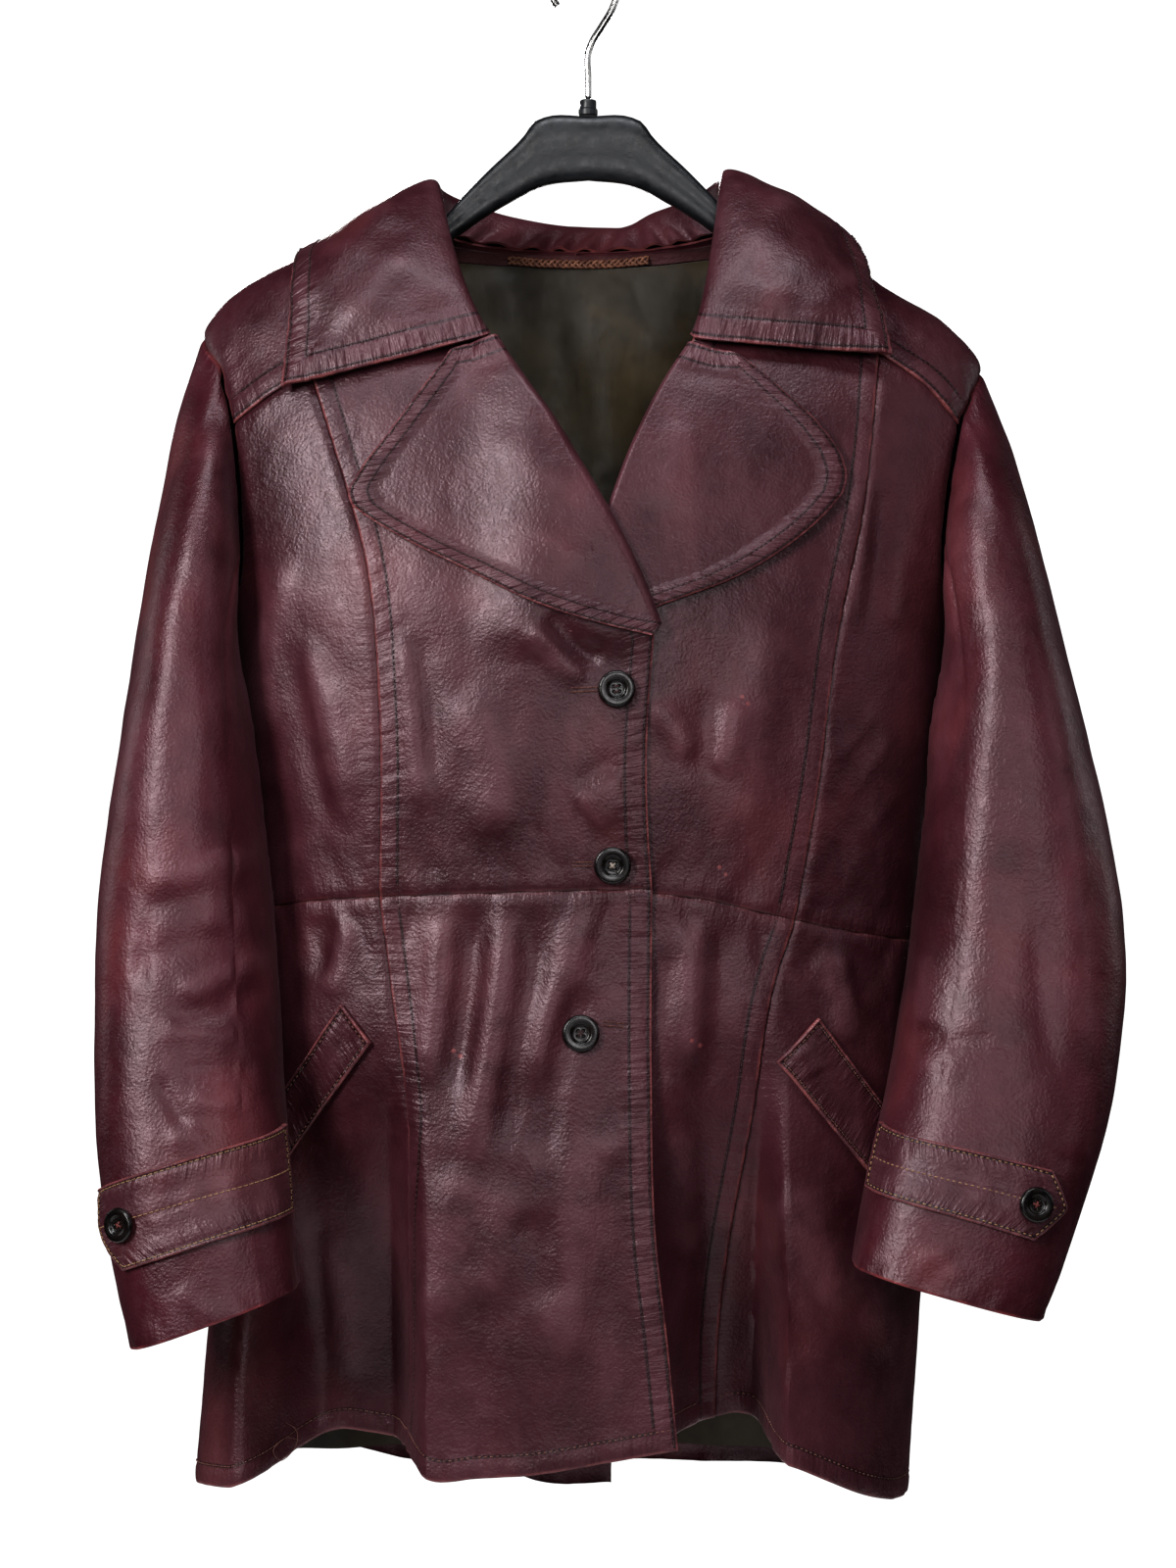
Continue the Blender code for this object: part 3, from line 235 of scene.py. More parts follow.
# The collar, one row for each station from the left front round the back to the right front:
# its fold line, the middle of its leaf and its outer edge
COLLAR_FOLD = (
    (-57, -67, -233), (-67, -58, -205), (-78, -38, -172), (-87, -12, -137), (-89, 2, -128),
    (-84, 24, -130), (-66, 42, -135), (-40, 52, -141), (-8, 56, -146), (20, 55, -147),
    (36, 51, -138), (58, 40, -131), (72, 20, -125), (76, 0, -123.5), (75, -12, -130),
    (70, -38, -166), (65, -58, -205), (60, -67, -235),
)
COLLAR_MIDDLE = (
    (-115, -68, -248), (-121, -63, -220), (-127, -50, -186), (-131, -24, -158), (-130, 2, -151),
    (-127, 30, -155), (-101, 51, -166), (-60, 62, -176), (-18, 66, -180), (20, 66, -181),
    (54, 62, -172), (89, 52, -162), (112, 32, -148), (118, 2, -139.5), (121, -21, -150),
    (121, -49, -180), (120, -64, -211), (115, -68, -240),
)
COLLAR_EDGE = (
    (-176, -62, -262), (-174.5, -53, -238), (-173, -43, -212), (-173, -27, -189), (-170, 3, -175),
    (-162, 35, -183), (-132, 51, -207), (-80, 59, -216), (-28, 62, -222), (20, 62, -222),
    (72, 58, -214), (118, 50, -203), (146, 36, -184), (158, 8, -166), (163, -15, -182),
    (168, -39, -207), (172, -54, -227), (174, -62, -243),
)
# The neck seam under the same stations: front points as (x, z), back points as (turns, z)
NECK_STATIONS_BACK = (
    (1.0, -150), (1.10, -152.5), (1.22, -158), (1.34, -164), (1.46, -167.5), (1.54, -168),
    (1.66, -164), (1.78, -158), (1.90, -152.5), (2.0, -150),
)
NECK_STATIONS = {
    "l": ((-58, -230), (-72, -213), (-81, -185), (-85.5, -160)),
    "r": ((83.5, -160), (79, -185), (70, -214), (61, -231)),
}
NECK_CELLS = 10

# Lapels: gorge, then the outer edge from the notch round the tip to the break
GORGE_BEND = {"l": (-68, -219), "r": (67, -220)}
BREAK = -409
GORGE = {"l": ((-55, -236), (-78, -243.5)), "r": ((60, -238.5), (87, -246.5))}
LAPEL_EDGE = {
    "l": (
        (-78, -243.5), (-89, -259), (-111, -289), (-131, -317), (-135, -325), (-132.5, -333),
    ),
    "r": (
        (87, -246.5), (111, -267), (134, -290), (143, -303), (146, -315), (144, -325),
    ),
}
LAPEL_FOOT = {
    "l": (
        (-132.5, -333), (-126, -338), (-100, -354), (-72, -368), (-33, -388), (4, -400), (35, -407.5),
    ),
    "r": (
        (144, -325), (134, -337), (111, -357), (83, -374), (55, -385), (20, -397), (-10, -405),
    ),
}

# Hanger, as (x, z) of its top and lower lines on one side, and (x, half thickness)
HANGER_TOP = (
    (0, -95.2), (25, -95.6), (31, -98), (38, -107), (60, -128.5), (75, -144), (87, -157),
    (120, -173), (150, -186.5), (180, -206), (200, -220), (207, -226),
)
HANGER_FOOT = (
    (0, -133), (25, -136), (47, -146.5), (62, -155.5), (80, -168), (100, -179), (130, -195),
    (160, -210), (190, -225), (203, -231), (206.5, -231.5), (207.5, -230),
)
HANGER_HALF = ((0, 6.5), (60, 6.5), (95, 6.8), (150, 10), (208, 9))
HANGER_SQUARENESS = 3.2
BOSS_RINGS = (
    (0.05, -94.9), (5.2, -94.9), (5.7, -94.4), (5.7, -91.4), (5.3, -90.9), (4.9, -90.4),
    (4.9, -86.6), (4.6, -85.8), (3.6, -85.4), (2.5, -85.3), (2.1, -85.6), (0.05, -85.7),
)
BOSS_SIDES = 48
HANGER_RING = 40
WIRE = 4.0
HOOK_CENTRE = (-2, -18)
HOOK_RADIUS = 20
HOOK_STEM = ((0, -85.1), (0, -72), (0, -58), (2.5, -51), (8, -42), (14, -32))
HOOK_ARC_DEGREES = (-20, 215)

# Small pieces
BUTTON = 21.0
CUFF_BUTTON = 19.5
BUTTON_THICK = 3.6
BUTTON_SIDES = 96
HOLES_OUT = 2.15
# a button's section, as (share of its radius, share of its thickness)
BUTTON_PROFILE = (
    (0, 0.5), (0.3, 0.5), (0.44, 0.56), (0.53, 0.84), (0.58, 0.93), (0.62, 0.95), (0.78, 1.0), (0.88, 0.97),
    (0.95, 0.84), (1.0, 0.5),
)
FRONT_BUTTONS = ((16, -437, 1.9), (13.7, -535.6, 0.9), (-4, -630, 0.9))
LAPEL_GAPS = {"l": 1.3, "r": 0.6}
LAPEL_BULGES = {"l": 3.4, "r": 3.4 * 0.3}
LAPEL_CURL = 2.0
LAPEL_ROLL_STEPS = 12
BUTTONHOLES = (((-9.3, -437.5), (5.2, -437.0)), ((-9, -535), (2.6, -535)), ((8, -624.5), (20.5, -625.5)))
HOLE_HALF = 1.2
HOLE_EDGE = 0.8
HOLE_PITCH = 0.75
HOLE_STITCH = 0.68
LOOSE_THREAD = (
    (-176, -860), (-171, -866), (-172, -876), (-179, -881), (-183, -874), (-177, -869), (-168, -873),
)
WELT_CORNERS = {
    "l": ((-138.6, -615), (-122, -636), (-199, -742), (-207.5, -716)),
    "r": ((129.5, -622.4), (106.3, -646.6), (184, -742), (195, -712)),
}
TAB_ENDS = {
    "l": {"start": ((-170, -680), (-162, -727)), "end": ((-268, -714), (-273, -737), (-253, -757))},
    "r": {"start": ((162, -678), (151, -713)), "end": ((254, -702), (262, -724), (243, -740))},
}
WELT_GAPS = {"l": 1.7, "r": 1.3}
TAB_CELLS = 14
TAB_GAP = 1.1
CUFF_BUTTON_SPOT = {"l": (-254, -732), "r": (243.5, -720)}
FACING_HEIGHT = 9
FACING_TURNS = (1.2, 1.8)
INSIDE_GAP = 1.5
LOOP_TURNS = (1.41, 1.6)
LOOP_DROP = (3.5, 7)
LOOP_SAG = 1.6
LOOP_THICK = 1.2
LINING_SIDE = ((1.17, -250), (1.17, -330), (1.13, -420), (1.08, -520), (1.07, -700))
LINING_HEM_TURNS = (1.08, 1.92)
LINING_HEM = -893
LINING_EASE = 3.0
VENT_TOP = -690
VENT_EDGE = 15
VENT_SLANT = 16
VENT_LIFT = LEATHER + 3
VENT_EASE = 32

# Folds, as (half width, height, line of (x, z)): ridges are above 0, troughs below
FRONT_FOLDS = (
    (7, -2.6, ((-24, -395), (-8, -410), (7, -424))),
    (7, 1.8, ((-33, -402), (-17, -419), (0, -432))),
    (8, 1.6, ((-104, -402), (-97, -451), (-92, -507))),
    (6, -1.6, ((-97, -402), (-90, -446), (-87, -496))),
    (10, 1.4, ((-6, -504), (6, -495), (20, -486))),
    (6, 1.0, ((3, -513), (22, -498))),
    (6, -1.0, ((-8, -493), (17, -476))),
    (13, 1.5, ((-72, -435), (-55, -479), (-53, -523))),
    (9, 2.2, ((-80, -559), (-85, -601), (-90, -662))),
    (9, -2.2, ((-64, -559), (-67, -606), (-76, -667))),
    (10, 2.4, ((-46, -559), (-51, -606), (-60, -662), (-67, -711))),
    (9, -2.2, ((-28, -558), (-30, -601), (-40, -656), (-44, -700))),
    (11, 2.2, ((3, -556), (-8, -581), (-23, -623), (-30, -667))),
    (10, -2.4, ((0, -601), (-13, -628), (-22, -662), (-26, -706))),
    (14, 1.6, ((-72, -700), (-80, -761), (-83, -794))),
    (12, 1.4, ((-44, -711), (-55, -761), (-66, -783))),
    (12, -1.4, ((-33, -728), (-22, -783))),
    (14, 1.4, ((0, -673), (-6, -739), (-22, -822))),
    (8, 0.9, ((6, -700), (28, -684))),
    (8, 1.6, ((38, -443), (49, -460), (60, -475))),
    (9, 2.0, ((83, -441), (79, -468), (75, -486))),
    (9, -1.2, ((69, -435), (67, -468), (64, -490))),
    (14, 1.2, ((105, -391), (94, -446), (83, -523))),
    (7, -1.6, ((44, -579), (41, -623), (41, -667))),
    (9, 1.8, ((60, -565), (59, -606), (59, -650))),
    (9, -1.4, ((75, -568), (71, -623), (67, -667))),
    (9, 1.2, ((50, -673), (55, -722), (58, -767))),
    (10, 1.8, ((-174, -357), (-184, -413), (-189, -468))),
    (8, 1.6, ((-163, -402), (-149, -462), (-135, -518))),
    (8, -1.4, ((-171, -407), (-157, -474), (-145, -523))),
    (7, 1.2, ((-147, -429), (-137, -474), (-131, -501))),
    (12, -1.5, ((-187, -490), (-171, -529))),
    (8, 1.6, ((-137, -565), (-142, -592), (-146, -612))),
    (8, -1.2, ((-149, -565), (-154, -601))),
    (12, 1.4, ((-149, -739), (-141, -794), (-137, -838))),
    (12, -1.6, ((-166, -739), (-166, -822))),
    (7, 1.0, ((158, -308), (155, -357), (148, -407))),
    (7, -1.0, ((169, -313), (166, -357), (160, -402))),
    (7, 0.9, ((180, -357), (174, -402))),
    (4, 0.6, ((166, -446), (138, -479))),
    (4, 0.6, ((174, -462), (145, -501))),
    (4, 0.6, ((180, -490), (155, -523))),
    (9, 1.6, ((140, -581), (143, -606), (148, -639))),
    (7, -1.1, ((152, -579), (158, -617))),
    (7, 1.4, ((117, -639), (126, -656))),
    (14, 1.5, ((111, -711), (127, -761), (149, -789))),
    (12, -1.4, ((105, -761), (127, -816))),
    (12, 1.2, ((166, -756), (169, -822))),
    (10, 1.0, ((-48, -293), (-30, -313), (-14, -329))),
    (5, 0.7, ((-29, -348), (-14, -360), (0, -367))),
    (8, 1.0, ((55, -285), (50, -308), (38, -335))),
)
SLEEVE_FOLDS = {
    "l": (
        (14, 2.0, ((-217, -255), (-212, -333), (-206, -412), (-203, -484))),
        (12, -1.5, ((-230, -378), (-226, -445), (-230, -512))),
        (9, 1.8, ((-202, -524), (-206, -563))),
        (7, 2.0, ((-228, -608), (-207, -598), (-180, -586))),
        (7, -1.8, ((-230, -622), (-202, -613), (-176, -602))),
        (6, 1.4, ((-242, -629), (-218, -626), (-189, -631))),
        (6, 1.4, ((-221, -663), (-204, -666), (-185, -665))),
        (6, -1.4, ((-227, -650), (-204, -647), (-182, -650))),
        (3.5, -1.6, ((-237, -652), (-230, -666), (-220, -680))),
        (4, -1.2, ((-246, -563), (-248, -588), (-249, -605))),
        (8, 1.3, ((-252, -546), (-224, -540), (-189, -529))),
        (7, -1.1, ((-252, -560), (-218, -554), (-185, -546))),
        (8, 1.2, ((-216, -568), (-188, -563))),
        (6, 1.1, ((-232, -686), (-210, -683))),
        (7, -1.1, ((-258, -591), (-230, -582), (-196, -574))),
        (16, 1.2, ((-252, -434), (-258, -518))),
        (9, 1.0, ((-224, -764), (-202, -787))),
    ),
    "r": (
        (12, 2.2, ((216, -294), (208, -356), (200, -434), (196, -507))),
        (14, -2.2, ((240, -333), (237, -423), (234, -501), (235, -591))),
        (12, 2.0, ((258, -400), (268, -490), (273, -574), (277, -650))),
        (7, -1.4, ((249, -563), (252, -613), (256, -652))),
        (8, 1.3, ((190, -580), (188, -630))),
        (5, -1.0, ((182, -627), (202, -633), (224, -631))),
        (7, 1.0, ((179, -644), (207, -650))),
        (4, -1.0, ((258, -694), (274, -702))),
        (9, 1.2, ((188, -742), (199, -764))),
        (9, 1.2, ((286, -468), (294, -518), (297, -580))),
    ),
}
BACK_FOLDS = (
    (12, 1.8, ((-120, -260), (-105, -360), (-100, -470))), (
        12, -1.5, ((-150, -300), (-140, -420), (-120, -540)),
    ),
    (12, 1.8, ((130, -270), (112, -380), (108, -480))), (12, -1.4, ((60, -300), (55, -430), (50, -560))),
    (10, 2.0, ((-70, -590), (-80, -680), (-95, -780))), (
        10, -2.0, ((-40, -585), (-45, -690), (-50, -800)),
    ),
    (10, 2.0, ((50, -590), (62, -690), (70, -790))), (10, -2.0, ((90, -595), (105, -700), (120, -800))),
    (9, 1.4, ((-160, -590), (-170, -660))), (9, 1.4, ((150, -595), (160, -670))),
    (8, 1.2, ((-120, -548), (-60, -540), (0, -545))), (8, -1.2, ((-110, -530), (-40, -524))),
    (8, 1.1, ((20, -540), (90, -545), (140, -555))), (14, 1.4, ((-190, -300), (-175, -380))),
    (14, 1.4, ((190, -310), (172, -400))), (6, 0.9, ((-60, -240), (0, -252), (70, -242))),
)

# How a border is sewn: height at its edge, rows of thread and how far in they run, strength of
# the pucker between edge and row, strength of wear, and (depth, reach, pitch) of its gathers
Border = namedtuple("Border", "height rows pucker wear gather")
SEAM = Border(-0.9, (), 0.15, 0.3, (0.15, 12, 17))
WAIST = Border(-0.7, (), 0.2, 0.35, (0.5, 36, 23))
LAPPED = Border(0.5, (10.5,), 0.22, 0.9, (0.3, 13, 11))
UNDER = Border(-1.0, (), 0.15, 0.0, (0.1, 10, 15))
EDGE = Border(0.2, (1.9, 12.5), 0.4, 1.0, (0.4, 14, 10))
HEM = Border(0.1, (12.0,), 0.22, 0.7, (0.4, 16, 18))
VENT = Border(0.1, (10.0,), 0.4, 0.7, (0.2, 12, 15))
YOKE = Border(0.5, (2.4, 13.5), 0.3, 0.9, (0.2, 13, 14))
NECK = Border(-0.3, (), 0.3, 0.2, (0.15, 10, 13))
ARMHOLE = Border(-1.0, (), 0.3, 0.6, (0.2, 14, 16))
CUFF = Border(0.0, (), 0.1, 1.0, (0.6, 24, 27))
LEAF = Border(0.0, (2.6, 14.5), 0.6, 1.0, (0.4, 16, 8))
REVERS = Border(0.0, (2.6, 12.0), 0.75, 1.0, (0.45, 14, 8))
TAB = Border(0.0, (2.5,), 0.5, 0.9, (0.15, 7, 7))
WELT = Border(0.0, (2.4,), 0.4, 1.0, (0.15, 7, 9))
PLAIN = Border(0.0, (), 0.0, 0.1, (0.0, 10, 10))
FOLD_DEPTH_SHARE = 1.4

# Thread
STITCH = 2.3
PITCH = 3.3
THREAD = 0.4


def smooth(t):
    """0 to 1 with level ends: 3t^2 - 2t^3."""
    t = np.clip(t, 0, 1)
    return t * t * (3 - 2 * t)


def profile(pairs):
    """A smooth curve through (key, value...) rows that never overshoots between two rows."""
    rows = np.array(sorted(tuple(row) for row in pairs), float)
    keys, values = rows[:, 0], rows[:, 1:]
    step = np.diff(keys)[:, None]
    slope = np.diff(values, axis=0) / step
    product = slope[:-1] * slope[1:]
    total = np.where(product > 0, slope[:-1] + slope[1:], 1)
    inner = np.where(product > 0, 2 * product / total, 0)
    slopes = np.vstack((slope[:1], inner, slope[-1:]))

    def value(key):
        key = np.clip(np.asarray(key, float), keys[0], keys[-1])
        i = np.clip(np.searchsorted(keys, key) - 1, 0, len(keys) - 2)
        t = ((key - keys[i]) / step[i, 0])[..., None]
        result = values[i] * (1 + 2 * t) * (1 - t) ** 2 + values[i + 1] * t * t * (3 - 2 * t)
        result = result + step[i] * (slopes[i] * t * (1 - t) ** 2 - slopes[i + 1] * t * t * (1 - t))
        return result[..., 0] if result.shape[-1] == 1 else result

    return value


def through(points, shares):
    """Points at shares 0 to 1 of a smooth line through the given ones (Catmull-Rom, by chord)."""
    points = np.array(points, float)
    if len(points) == 2:
        return points[0] + (points[1] - points[0]) * np.asarray(shares)[:, None]
    chord = np.concatenate(([0], np.cumsum(np.linalg.norm(np.diff(points, axis=0), axis=1))))
    chord /= chord[-1]
    slopes = np.gradient(points, chord, axis=0)
    i = np.clip(np.searchsorted(chord, shares) - 1, 0, len(points) - 2)
    step = (chord[i + 1] - chord[i])[:, None]
    t = (np.asarray(shares) - chord[i])[:, None] / step
    near = points[i] * (1 + 2 * t) * (1 - t) ** 2 + points[i + 1] * t * t * (3 - 2 * t)
    return near + step * (slopes[i] * t * (1 - t) ** 2 - slopes[i + 1] * t * t * (1 - t))


neck_back = profile([(turn * math.pi, z) for turn, z in NECK_STATIONS_BACK])
left_outline = profile(LEFT_OUTLINE)
right_outline = profile(RIGHT_OUTLINE)
front_depth = profile(FRONT_DEPTH)
back_depth = profile(BACK_DEPTH)


def ring(z):
    """Middle and half width of the body's ring at height z."""
    left, right = left_outline(z), right_outline(z)
    return (left + right) / 2, (right - left) / 2


def fold(x, z, side):
    """How far a front panel is drawn back at (x, z) by the deep fold on its side."""
    start, near, far, end = FOLD_LEFT if side == "l" else FOLD_RIGHT
    depth = FOLD_DEPTH * smooth((FOLD_TOP - z) / FOLD_RISE)
    return depth * smooth((x - start) / (near - start)) * (1 - smooth((x - far) / (end - far)))


def body(turn, z, side):
    """A point of the coat's form: |x/a|^n + |y/b|^n = 1 at each height, turn 0 at the right."""
    middle, half = ring(z)
    c, s = np.cos(turn), np.sin(turn)
    reach = (np.abs(c) ** SQUARENESS + np.abs(s) ** SQUARENESS) ** (-1 / SQUARENESS)
    x = middle + half * reach * c
    front = s >= 0
    y = -np.where(front, front_depth(z), back_depth(z)) * reach * s
    wave = BACK_WAVE * smooth((BACK_WAVE_TOP - z) / BACK_WAVE_RISE)
    wave = wave * np.sin(2 * math.pi * x / BACK_WAVE_PITCH) * s * s
    y = y + np.where(front, fold(x, z, side), wave)
    return np.stack((x, y, z + 0 * x), -1)


def normals(surface, u, v, du, dv):
    """Unit normals of a surface function, from its slopes in both directions."""
    across = surface(u + du, v) - surface(u - du, v)
    along = surface(u, v + dv) - surface(u, v - dv)
    normal = np.cross(along, across)
    return normal / np.linalg.norm(normal, axis=-1, keepdims=True)


def skin(places, out, side):
    """Points over the body at (turn, z) places, moved out along its normal by `out`."""
    turn, z = places[..., 0], places[..., 1]

    def form(a, b):
        return body(a, b, side)

    normal = normals(form, turn, z, 1e-3, 0.2)
    return form(turn, z) + normal * np.asarray(out)[..., None]


def turn_at(x, z, back=False):
    """The ring's turn at x on the front or back."""
    middle, half = ring(z)
    u = np.clip((x - middle) / half, -1, 1)
    v = (1 - np.abs(u) ** SQUARENESS) ** (1 / SQUARENESS)
    turn = np.arctan2(v, u)
    return 2 * math.pi - turn if back else turn


def leg(points, cells, back=False):
    """(turn, z) samples, FINE to a cell, of a smooth line through (x, z) points."""
    line = through(points, np.linspace(0, 1, cells * FINE + 1))
    return np.stack((turn_at(line[:, 0], line[:, 1], back), line[:, 1]), -1)


def straight(start, end, cells):
    """(turn, z) samples, FINE to a cell, from one place to another."""
    shares = np.linspace(0, 1, cells * FINE + 1)[:, None]
    return np.array(start) * (1 - shares) + np.array(end) * shares


def chain(*legs):
    """Joins sampled legs into one side, dropping each repeated corner."""
    return np.vstack([legs[0]] + [part[1:] for part in legs[1:]])


def read(side, shares):
    """A sampled side read between its samples at shares 0 to 1."""
    place = np.asarray(shares) * (len(side) - 1)
    i = np.minimum(place.astype(int), len(side) - 2)
    t = (place - i)[:, None]
    return side[i] * (1 - t) + side[i + 1] * t


def steps(length, cell):
    """Shares 0 to 1 of a length in mm: short steps at both ends, even ones between."""
    rim = np.array(RIM_STEPS)
    count = max(2, int(round((length - 2 * rim[-1]) / cell)))
    inner = np.linspace(rim[-1], length - rim[-1], count + 1)[1:-1]
    return np.concatenate((rim, inner, length - rim[::-1])) / length


def patch(top, bottom, left, right, s, t):
    """The grid that four sides bound: two blends of facing sides less the corners'."""
    ends = top[0], top[-1], bottom[0], bottom[-1]
    top, bottom, left, right = read(top, s), read(bottom, s), read(left, t), read(right, t)
    s, t = s[None, :, None], t[:, None, None]
    ruled = (1 - t) * top[None] + t * bottom[None] + (1 - s) * left[:, None] + s * right[:, None]
    corners = (1 - s) * (1 - t) * ends[0] + s * (1 - t) * ends[1]
    return ruled - corners - (1 - s) * t * ends[2] - s * t * ends[3]


def length_of(points):
    """A line's length."""
    return np.linalg.norm(np.diff(points, axis=0), axis=1).sum()


def spread(top, bottom, left, right, place, cell):
    """A fine patch between four sides whose cells are about `cell` mm on the surface."""
    wide = max(length_of(place(top)), length_of(place(bottom)))
    high = max(length_of(place(left)), length_of(place(right)))
    return patch(top, bottom, left, right, steps(wide, cell), steps(high, cell))


def trim(places, point, gap=TOUCH):
    """Draws a grid's four borders in by the gap, measured on the surface `point` gives."""
    places = places.copy()
    for axis in (0, 1):
        places = np.swapaxes(places, 0, axis)
        spots = point(places)
        for edge, inner in ((0, 3), (-1, -4)):
            length = np.linalg.norm(spots[inner] - spots[edge], axis=-1, keepdims=True)
            places[edge] = places[edge] + (places[inner] - places[edge]) * gap / length
        places = np.swapaxes(places, 0, axis)
    return places


def grid_normals(points):
    """Unit normals of a grid of points."""
    normal = np.cross(np.gradient(points, axis=0), np.gradient(points, axis=1))
    return normal / np.linalg.norm(normal, axis=-1, keepdims=True)


def armhole(side):
    """(turn, z) of the armhole at any angle: a closed smooth line through its keys."""
    front, back, high, low = ARMHOLE_FRONT[side], ARMHOLE_BACK[side], SHOULDER[side], UNDERARM[side]
    turn, lap = (math.pi, 0) if side == "l" else (0, 2 * math.pi)
    keys = [(0, turn, high)]
    keys += [(angle, turn_at(x, z), z) for angle, x, z in front]
    keys += [(180, turn, low)]
    keys += [(angle, turn_at(x, z, True) - lap, z) for angle, x, z in back]
    before = [(angle - 360, a, z) for angle, a, z in keys]
    after = [(angle + 360, a, z) for angle, a, z in keys]
    rows = np.array(before + keys + after, float)
    slopes = np.gradient(rows[:, 1:], rows[:, 0], axis=0)

    def place(angle):
        angle = np.asarray(angle, float)
        i = np.searchsorted(rows[:, 0], angle, side="right") - 1
        step = (rows[i + 1, 0] - rows[i, 0])[..., None]
        t = (angle - rows[i, 0])[..., None] / step
        near = rows[i, 1:] * (1 + 2 * t) * (1 - t) ** 2 + rows[i + 1, 1:] * t * t * (3 - 2 * t)
        return near + step * (slopes[i] * t * (1 - t) ** 2 - slopes[i + 1] * t * t * (1 - t))

    return place


ARMHOLES = {"l": armhole("l"), "r": armhole("r")}


def armhole_leg(side, first, last):
    """The armhole between two of its cells, running from the first to the last."""
    steps_between = np.linspace(first, last, abs(last - first) * FINE + 1)
    return ARMHOLES[side](steps_between * 360 / ARMHOLE_CELLS)


def sleeve(side):
    """The sleeve's surface: ovals between its outer and inner lines, eased into the armhole.

    Each oval is middle + cos(angle) * half width + sin(angle) * half depth, with both scaled
    to a rounded square towards the cuff. Points inside the body are moved out to its side.
    """
    outer = profile(OUTER[side])
    inner = profile(INNER[side])
    depth = profile(SLEEVE_DEPTH)

    def oval(angle, share):
        top, low, deep = outer(share), inner(share), depth(share)
        power = SLEEVE_SQUARENESS[0] + (SLEEVE_SQUARENESS[1] - SLEEVE_SQUARENESS[0]) * smooth(share)
        c, s = np.cos(angle), np.sin(angle)
        reach = (np.abs(c) ** power + np.abs(s) ** power) ** (-1 / power)
        across = (top + low) / 2 + (top - low) / 2 * (reach * c)[..., None]
        y = deep[..., 0] - deep[..., 1] * reach * s
        return np.stack((across[..., 0], y, across[..., 1]), -1)

    def clear_of_body(spots, share):
        """Scales x and y out from the body's ring where a point lies inside it."""
        z = spots[..., 2]
        middle, half = ring(z)
        room = SLEEVE_CLEAR * smooth(share / SLEEVE_CLEAR_BY)
        wide = half + room
        deep = np.where(spots[..., 1] < 0, front_depth(z), back_depth(z)) + room
        u, v = (spots[..., 0] - middle) / wide, spots[..., 1] / deep
        size = (np.abs(u) ** SQUARENESS + np.abs(v) ** SQUARENESS) ** (1 / SQUARENESS)
        push = np.maximum(size, 1) / np.maximum(size, 0.2)
        return np.stack((middle + wide * u * push, deep * v * push, z), -1)

    def surface(angle, share):
        angle = angle + 0 * share
        share = share + 0 * angle
        ease = 1 - smooth(share / 0.3)
        seam = skin(ARMHOLES[side](np.degrees(angle)), SLEEVE_SEAT, side)
        freed = clear_of_body(oval(angle, share), share)
        return freed + (seam - clear_of_body(oval(angle, 0 * share), 0 * share)) * ease[..., None]

    return surface


SLEEVES = {"l": sleeve("l"), "r": sleeve("r")}


def sleeve_normals(side, places):
    """Unit normals of a sleeve at (angle, share) places."""
    share = np.clip(places[..., 1], 0.002, 0.998)
    return normals(SLEEVES[side], places[..., 0], share, 2e-3, 1e-3) * (1 if side == "l" else -1)


def sleeve_skin(side, places, out):
    """Points over a sleeve at (angle, share) places, moved out by `out`."""
    spots = SLEEVES[side](places[..., 0], places[..., 1])
    return spots + sleeve_normals(side, places) * np.asarray(out)[..., None]


def on_sleeve(side, x, z):
    """(angle, share) of the place on a sleeve's front that shows at (x, z)."""
    angle = np.radians(np.linspace(20, 160, 281))
    share = np.linspace(0.6, 1, 401)
    places = np.stack(np.meshgrid(angle, share), -1)
    spots = SLEEVES[side](places[..., 0], places[..., 1])
    miss = (spots[..., 0] - x) ** 2 + (spots[..., 2] - z) ** 2
    return places[np.unravel_index(np.argmin(miss), miss.shape)]


def lap_lift(places):
    """How far the left front stands out where it laps over the right one and its lapel."""
    x = body(places[..., 0], places[..., 1], "l")[..., 0]
    low, high = LAPEL_LIFT_TOP
    share = smooth((places[..., 1] - low) / (high - low))
    below = smooth((LAP_HIGH - places[..., 1]) / LAP_HIGH_EASE)
    return (LAP_LIFT + LAPEL_LIFT * share) * below * smooth((x - LAP_START) / LAP_WIDTH)


def folds(x, z, marks):
    """Sum over the marks of height * exp(-(distance to the line / half width)^2), tapered at its ends."""
    total = 0 * x
    for width, height, line in marks:
        line = np.array(line, float)
        part = np.diff(line, axis=0)
        run = np.linalg.norm(part, axis=1)
        before = np.concatenate(([0], np.cumsum(run)))
        near, along = np.full(x.shape, 1e9), 0 * x
        for i in range(len(part)):
            dx, dz = x - line[i, 0], z - line[i, 1]
            t = np.clip((dx * part[i, 0] + dz * part[i, 1]) / run[i] ** 2, 0, 1)
            gap = (dx - t * part[i, 0]) ** 2 + (dz - t * part[i, 1]) ** 2
            along = np.where(gap < near, (before[i] + t * run[i]) / before[-1], along)
            near = np.minimum(near, gap)
        taper = smooth(along * 4 + 0.15) * smooth((1 - along) * 4 + 0.15)
        total = total + height * np.exp(-near / width ** 2) * taper
    return total


def ripples(x, y, z):
    """The leather's own gentle unevenness: a few crossed sine waves, 25 to 70 mm long."""
    low = np.sin(x / 11.3 + 1.7 * np.sin(z / 31.0)) * np.sin(z / 17.1 + 1.1 * np.sin(x / 23.0) + y / 19)
    high = np.sin(x / 5.3 + z / 8.9 + 2.1 * np.sin(z / 13.7)) * np.sin(z / 6.1 - x / 9.7 + y / 8)
    return 0.30 * low + 0.07 * high


